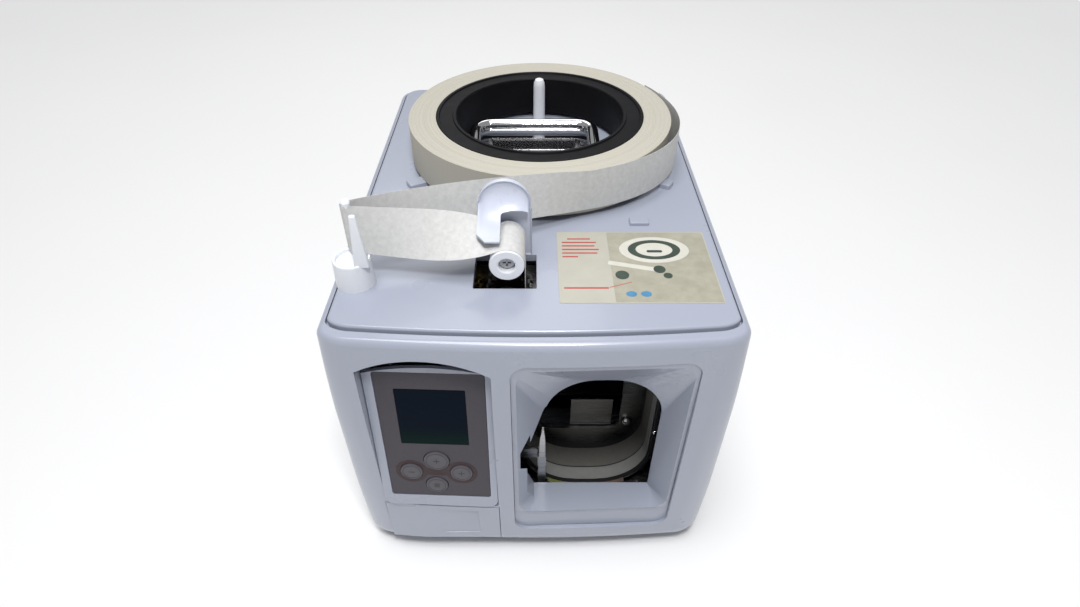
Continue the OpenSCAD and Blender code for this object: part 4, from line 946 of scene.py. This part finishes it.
class STRAP_OT_guides(bpy.types.Operator):
    """White guide post, feed guide, roller and roll post"""
    bl_idname = "strap.guides"
    bl_label = "Tape guides"

    def execute(self, context):
        # cup with a slightly flared foot, a rounded rim and a hollow, the pin and the tapering fin
        cup = [(0, LID_TOP), (9.6, LID_TOP), (9.5, 178.2), (9.1, 190.6), (8.7, 191.4), (8.1, 191.5),
               (7.7, 191.1), (7.4, 189.6), (0, 189.6)]
        bm = lathe(cup, -86.5, -95.5, 72)
        pin = [(0, 189), (2.2, 189), (2.2, 217.6), (1.6, 218.4), (0, 218.5)]
        add_part(bm, lathe(pin, POST_X, POST_Y, 40))
        fin = outline((-3.6, 0), (3.6, 28.6), 0, z=-1.5)
        raise_face(fin, 3)
        for v in fin.verts:
            if v.co.y > 1:
                v.co.x *= 0.42
                v.co.z = v.co.z * 0.7 - 0.3
        bmesh.ops.subdivide_edges(fin, edges=[e for e in fin.edges if e.calc_length() > 20], cuts=8,
                                  use_grid_fill=True)
        for v in fin.verts:
            v.co.z += -0.00045 * (v.co.y - 14) ** 2
        round_edges(fin, 0.9, 50, 3)
        add_part(bm, fin, Matrix.Translation((-80.3, -101, 189.8)) @ UPRIGHT)
        finish_piece("post_cup", bm, "chassis", "nylon", ["guide_post"])

        finish_piece("feed_guide_form", feed_guide_form(), "chassis", "guide_plastic",
                     ["feed_guide"], None, 40)

        roller = [(0.0, 0.2), (1.55, 0.2), (1.55, 0.0), (8.1, 0.0), (8.4, 0.3), (8.4, 1.4),
                  (8.15, 1.8), (8.15, 22.6), (8.4, 23.1), (8.4, 24.6), (8.1, 25.2), (4.6, 25.2),
                  (4.0, 24.8), (4.0, 20.2), (0.0, 20.2)]
        lying = Matrix.Translation((ROLLER_X, -75.3, ROLLER_Z)) @ UPRIGHT
        finish_piece("roller_drum", lathe(roller, 0, 0, 72, lying), "guide_roller", "nylon",
                     ["guide_roller"])

        post = [(0, LID_TOP), (5.2, LID_TOP), (4.3, 178.0), (4.0, 179.5), (3.8, 201.5),
                (3.5, 204.2), (2.6, 206.2), (1.3, 206.9), (0, 207)]
        finish_piece("roll_pin", lathe(post, ROLL_X, 81, 56), "chassis", "nylon", ["roll_post"])
        return {"FINISHED"}


# ---------- instruction label ----------

class STRAP_OT_label(bpy.types.Operator):
    """Paper label with a plain threading diagram"""
    bl_idname = "strap.label"
    bl_label = "Label"

    def execute(self, context):
        bm = plate((12, -112, LID_TOP - 0.01), (90, -54, 177.22), 1, 0.05, segments=1)
        finish_piece("label_sheet", bm, "chassis", "label_paper", ["instruction_label"])

        def printed(name, form, look):
            finish_piece(name, form, "chassis", "label_paper", (), LOOKS[look])

        picture = plate((38.5, -111.4, LABEL_Z), (89.4, -54.6, 177.25), 0.6)
        printed("label_picture", picture, "print_beige")

        lines = bmesh.new()
        for row, length in enumerate((15, 18, 17, 19, 18, 8)):
            y, indent = -60.5 - 3.1 * row, 3 if row == 0 else 0
            line = plate((14.5 + indent, y - 0.55, LABEL_Z), (14.5 + length, y + 0.55, 177.25))
            add_part(lines, line)
        add_part(lines, plate((14.5, -101.6, LABEL_Z), (36, -100.4, 177.25)))
        arrow = plate((0, -0.2, 177.24), (12, 0.2, 177.3))
        add_part(lines, arrow, Matrix.Translation((36.5, -100.6, 0)) @ turned(20, "Z"))
        printed("label_lines", lines, "print_red")

        # the roll, drawn from the side as an oval, and the strip of tape from it
        cream = bmesh.new()
        oval = Matrix.Translation((62, -70, 0)) @ Matrix.Diagonal((1, 0.62, 1, 1))
        add_part(cream, disc(0, 0, 18, LABEL_Z, 177.28, 64), oval)
        strip = plate((-13, -1.6, LABEL_Z), (13, 1.6, 177.28), 1)
        add_part(cream, strip, Matrix.Translation((50, -84, 0)) @ turned(-14, "Z"))
        printed("label_roll_print", cream, "print_cream")

        dark = bmesh.new()
        ring = [(9.5, LABEL_Z), (13.5, LABEL_Z), (13.5, 177.34), (9.5, 177.34), (9.5, LABEL_Z)]
        add_part(dark, lathe(ring, 0, 0, 64), oval)
        for x, y, r in ((43.5, -91, 3.4), (62.5, -86.5, 3.0), (66, -91.5, 2.2)):
            add_part(dark, disc(x, y, r, LABEL_Z, 177.33, 32))
        add_part(dark, plate((58, -72.5, LABEL_Z), (66, -70.5, 177.36), 0.9))
        printed("label_dark_print", dark, "print_green_black")

        blue = bmesh.new()
        for x in (46.5, 53.5):
            place = Matrix.Translation((x, -105.5, 0)) @ Matrix.Diagonal((1, 0.8, 1, 1))
            add_part(blue, disc(0, 0, 2.6, LABEL_Z, 177.3, 32), place)
        printed("label_blue_print", blue, "print_blue")
        return {"FINISHED"}


class STRAP_OT_stage(bpy.types.Operator):
    """Pale floor, soft lights and the camera of the photograph"""
    bl_idname = "strap.stage"
    bl_label = "Stage"

    def execute(self, context):
        scene = context.scene
        bm = bmesh.new()
        bmesh.ops.create_grid(bm, x_segments=2, y_segments=2, size=4.0)
        mesh = bpy.data.meshes.new("floor")
        bm.to_mesh(mesh)
        bm.free()
        floor = bpy.data.objects.new("floor", mesh)
        scene.collection.objects.link(floor)
        mesh.materials.append(plain("pale_floor", (0.82, 0.82, 0.82), 0.8, vary=0.003, spots=3))

        cam = bpy.data.objects.new("camera", bpy.data.cameras.new("camera"))
        scene.collection.objects.link(cam)
        cam.location = (0, -0.3394, 0.375)
        cam.rotation_euler = (math.radians(48.94), 0, 0)
        cam.data.sensor_width = 36
        cam.data.lens = 21.467
        cam.data.shift_x = 0.00556
        cam.data.clip_start = 0.01
        scene.camera = cam
        scene.view_settings.view_transform = "Standard"

        world = bpy.data.worlds.new("studio")
        scene.world = world
        world.use_nodes = True
        back = world.node_tree.nodes["Background"]
        back.inputs["Color"].default_value = (0.97, 0.98, 1.0, 1)
        back.inputs["Strength"].default_value = 0.34

        aim = Vector((0, -0.02, 0.1))
        for name, kind, at, power, size in (
                ("sky_light", "SUN", (-0.10, -0.10, 1.0), 1.75, 0.5),
                ("flash_light", "AREA", (0.03, -0.36, 0.72), 2.4, 0.10),
                ("strip_light", "AREA", (-0.1, 0.75, 0.9), 1.5, 0.5)):
            light = bpy.data.objects.new(name, bpy.data.lights.new(name, kind))
            scene.collection.objects.link(light)
            light.data.energy = power
            if kind == "SUN":
                light.data.angle = size
            else:
                light.data.size = size
            light.location = at
            light.rotation_mode = "QUATERNION"
            light.rotation_quaternion = (aim - Vector(at)).to_track_quat("-Z", "Y")
        return {"FINISHED"}


# nodes whose own form is shown, with the rounding of their edges
DRESSED = {"lower_cover": 0.5, "handle_dish": 0.4, "handle_bail": 0.0, "handle_ears": 0.3,
           "rear_panel": 0.2, "base_plate": 0.2, "note_stop": 0.3, "note_clamp": 0.3,
           "loop_track": 0.3}


class STRAP_OT_inlet(bpy.types.Operator):
    """Funnel of the note inlet, its front following the casing's bow"""
    bl_idname = "strap.inlet"
    bl_label = "Note inlet"

    def execute(self, context):
        def follow_bow(co):
            if co.z < 42 and co.y < -135:    # the sill's front
                co.y = -138.4
            bow_front(co, -120.3, 17)

        dressed_copy("inlet_frame", 0.8, 30, 3, follow_bow)
        return {"FINISHED"}


class STRAP_OT_dressed(bpy.types.Operator):
    """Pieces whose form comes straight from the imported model"""
    bl_idname = "strap.dressed"
    bl_label = "Dressed pieces"

    def execute(self, context):
        for node, edge in DRESSED.items():
            piece = dressed_copy(node, edge)
            # the blade's right side takes the painted reflection and the painted highlights
            if node == "note_clamp":    # the blade's right side, but not its slot
                piece.data.materials.append(LOOKS["clamp_blade_painted_reflection"])
                for face in piece.data.polygons:
                    if face.center.x > 0.0019 and not 0.055 < face.center.z < 0.065:
                        face.material_index = 1
        return {"FINISHED"}


class STRAP_PT_pieces(bpy.types.Panel):
    """Lists the operators that build the machine"""
    bl_idname = "STRAP_PT_pieces"
    bl_label = "Strapping machine"
    bl_space_type = "VIEW_3D"
    bl_region_type = "UI"
    bl_category = "Strapping"

    def draw(self, context):
        for op in OPERATORS:
            self.layout.operator(op.bl_idname)


OPERATORS = (STRAP_OT_casing, STRAP_OT_lid, STRAP_OT_panel, STRAP_OT_keys, STRAP_OT_roll,
             STRAP_OT_tape, STRAP_OT_guides, STRAP_OT_label, STRAP_OT_inlet, STRAP_OT_dressed,
             STRAP_OT_stage)
CLASSES = (CasingLooks, TapeLooks, PanelLooks, *OPERATORS, STRAP_PT_pieces)


def register():
    for c in CLASSES:
        bpy.utils.register_class(c)
    bpy.types.Scene.strap_casing = PointerProperty(type=CasingLooks)
    bpy.types.Scene.strap_tape = PointerProperty(type=TapeLooks)
    bpy.types.Scene.strap_panel = PointerProperty(type=PanelLooks)


def unregister():
    del bpy.types.Scene.strap_casing, bpy.types.Scene.strap_tape, bpy.types.Scene.strap_panel
    for c in reversed(CLASSES):
        bpy.utils.unregister_class(c)


def main():
    register()
    LOOKS.update(make_materials())
    paint_nodes()
    for op in OPERATORS:
        group, name = op.bl_idname.split(".")
        getattr(getattr(bpy.ops, group), name)()


if __name__ == "__main__":
    main()
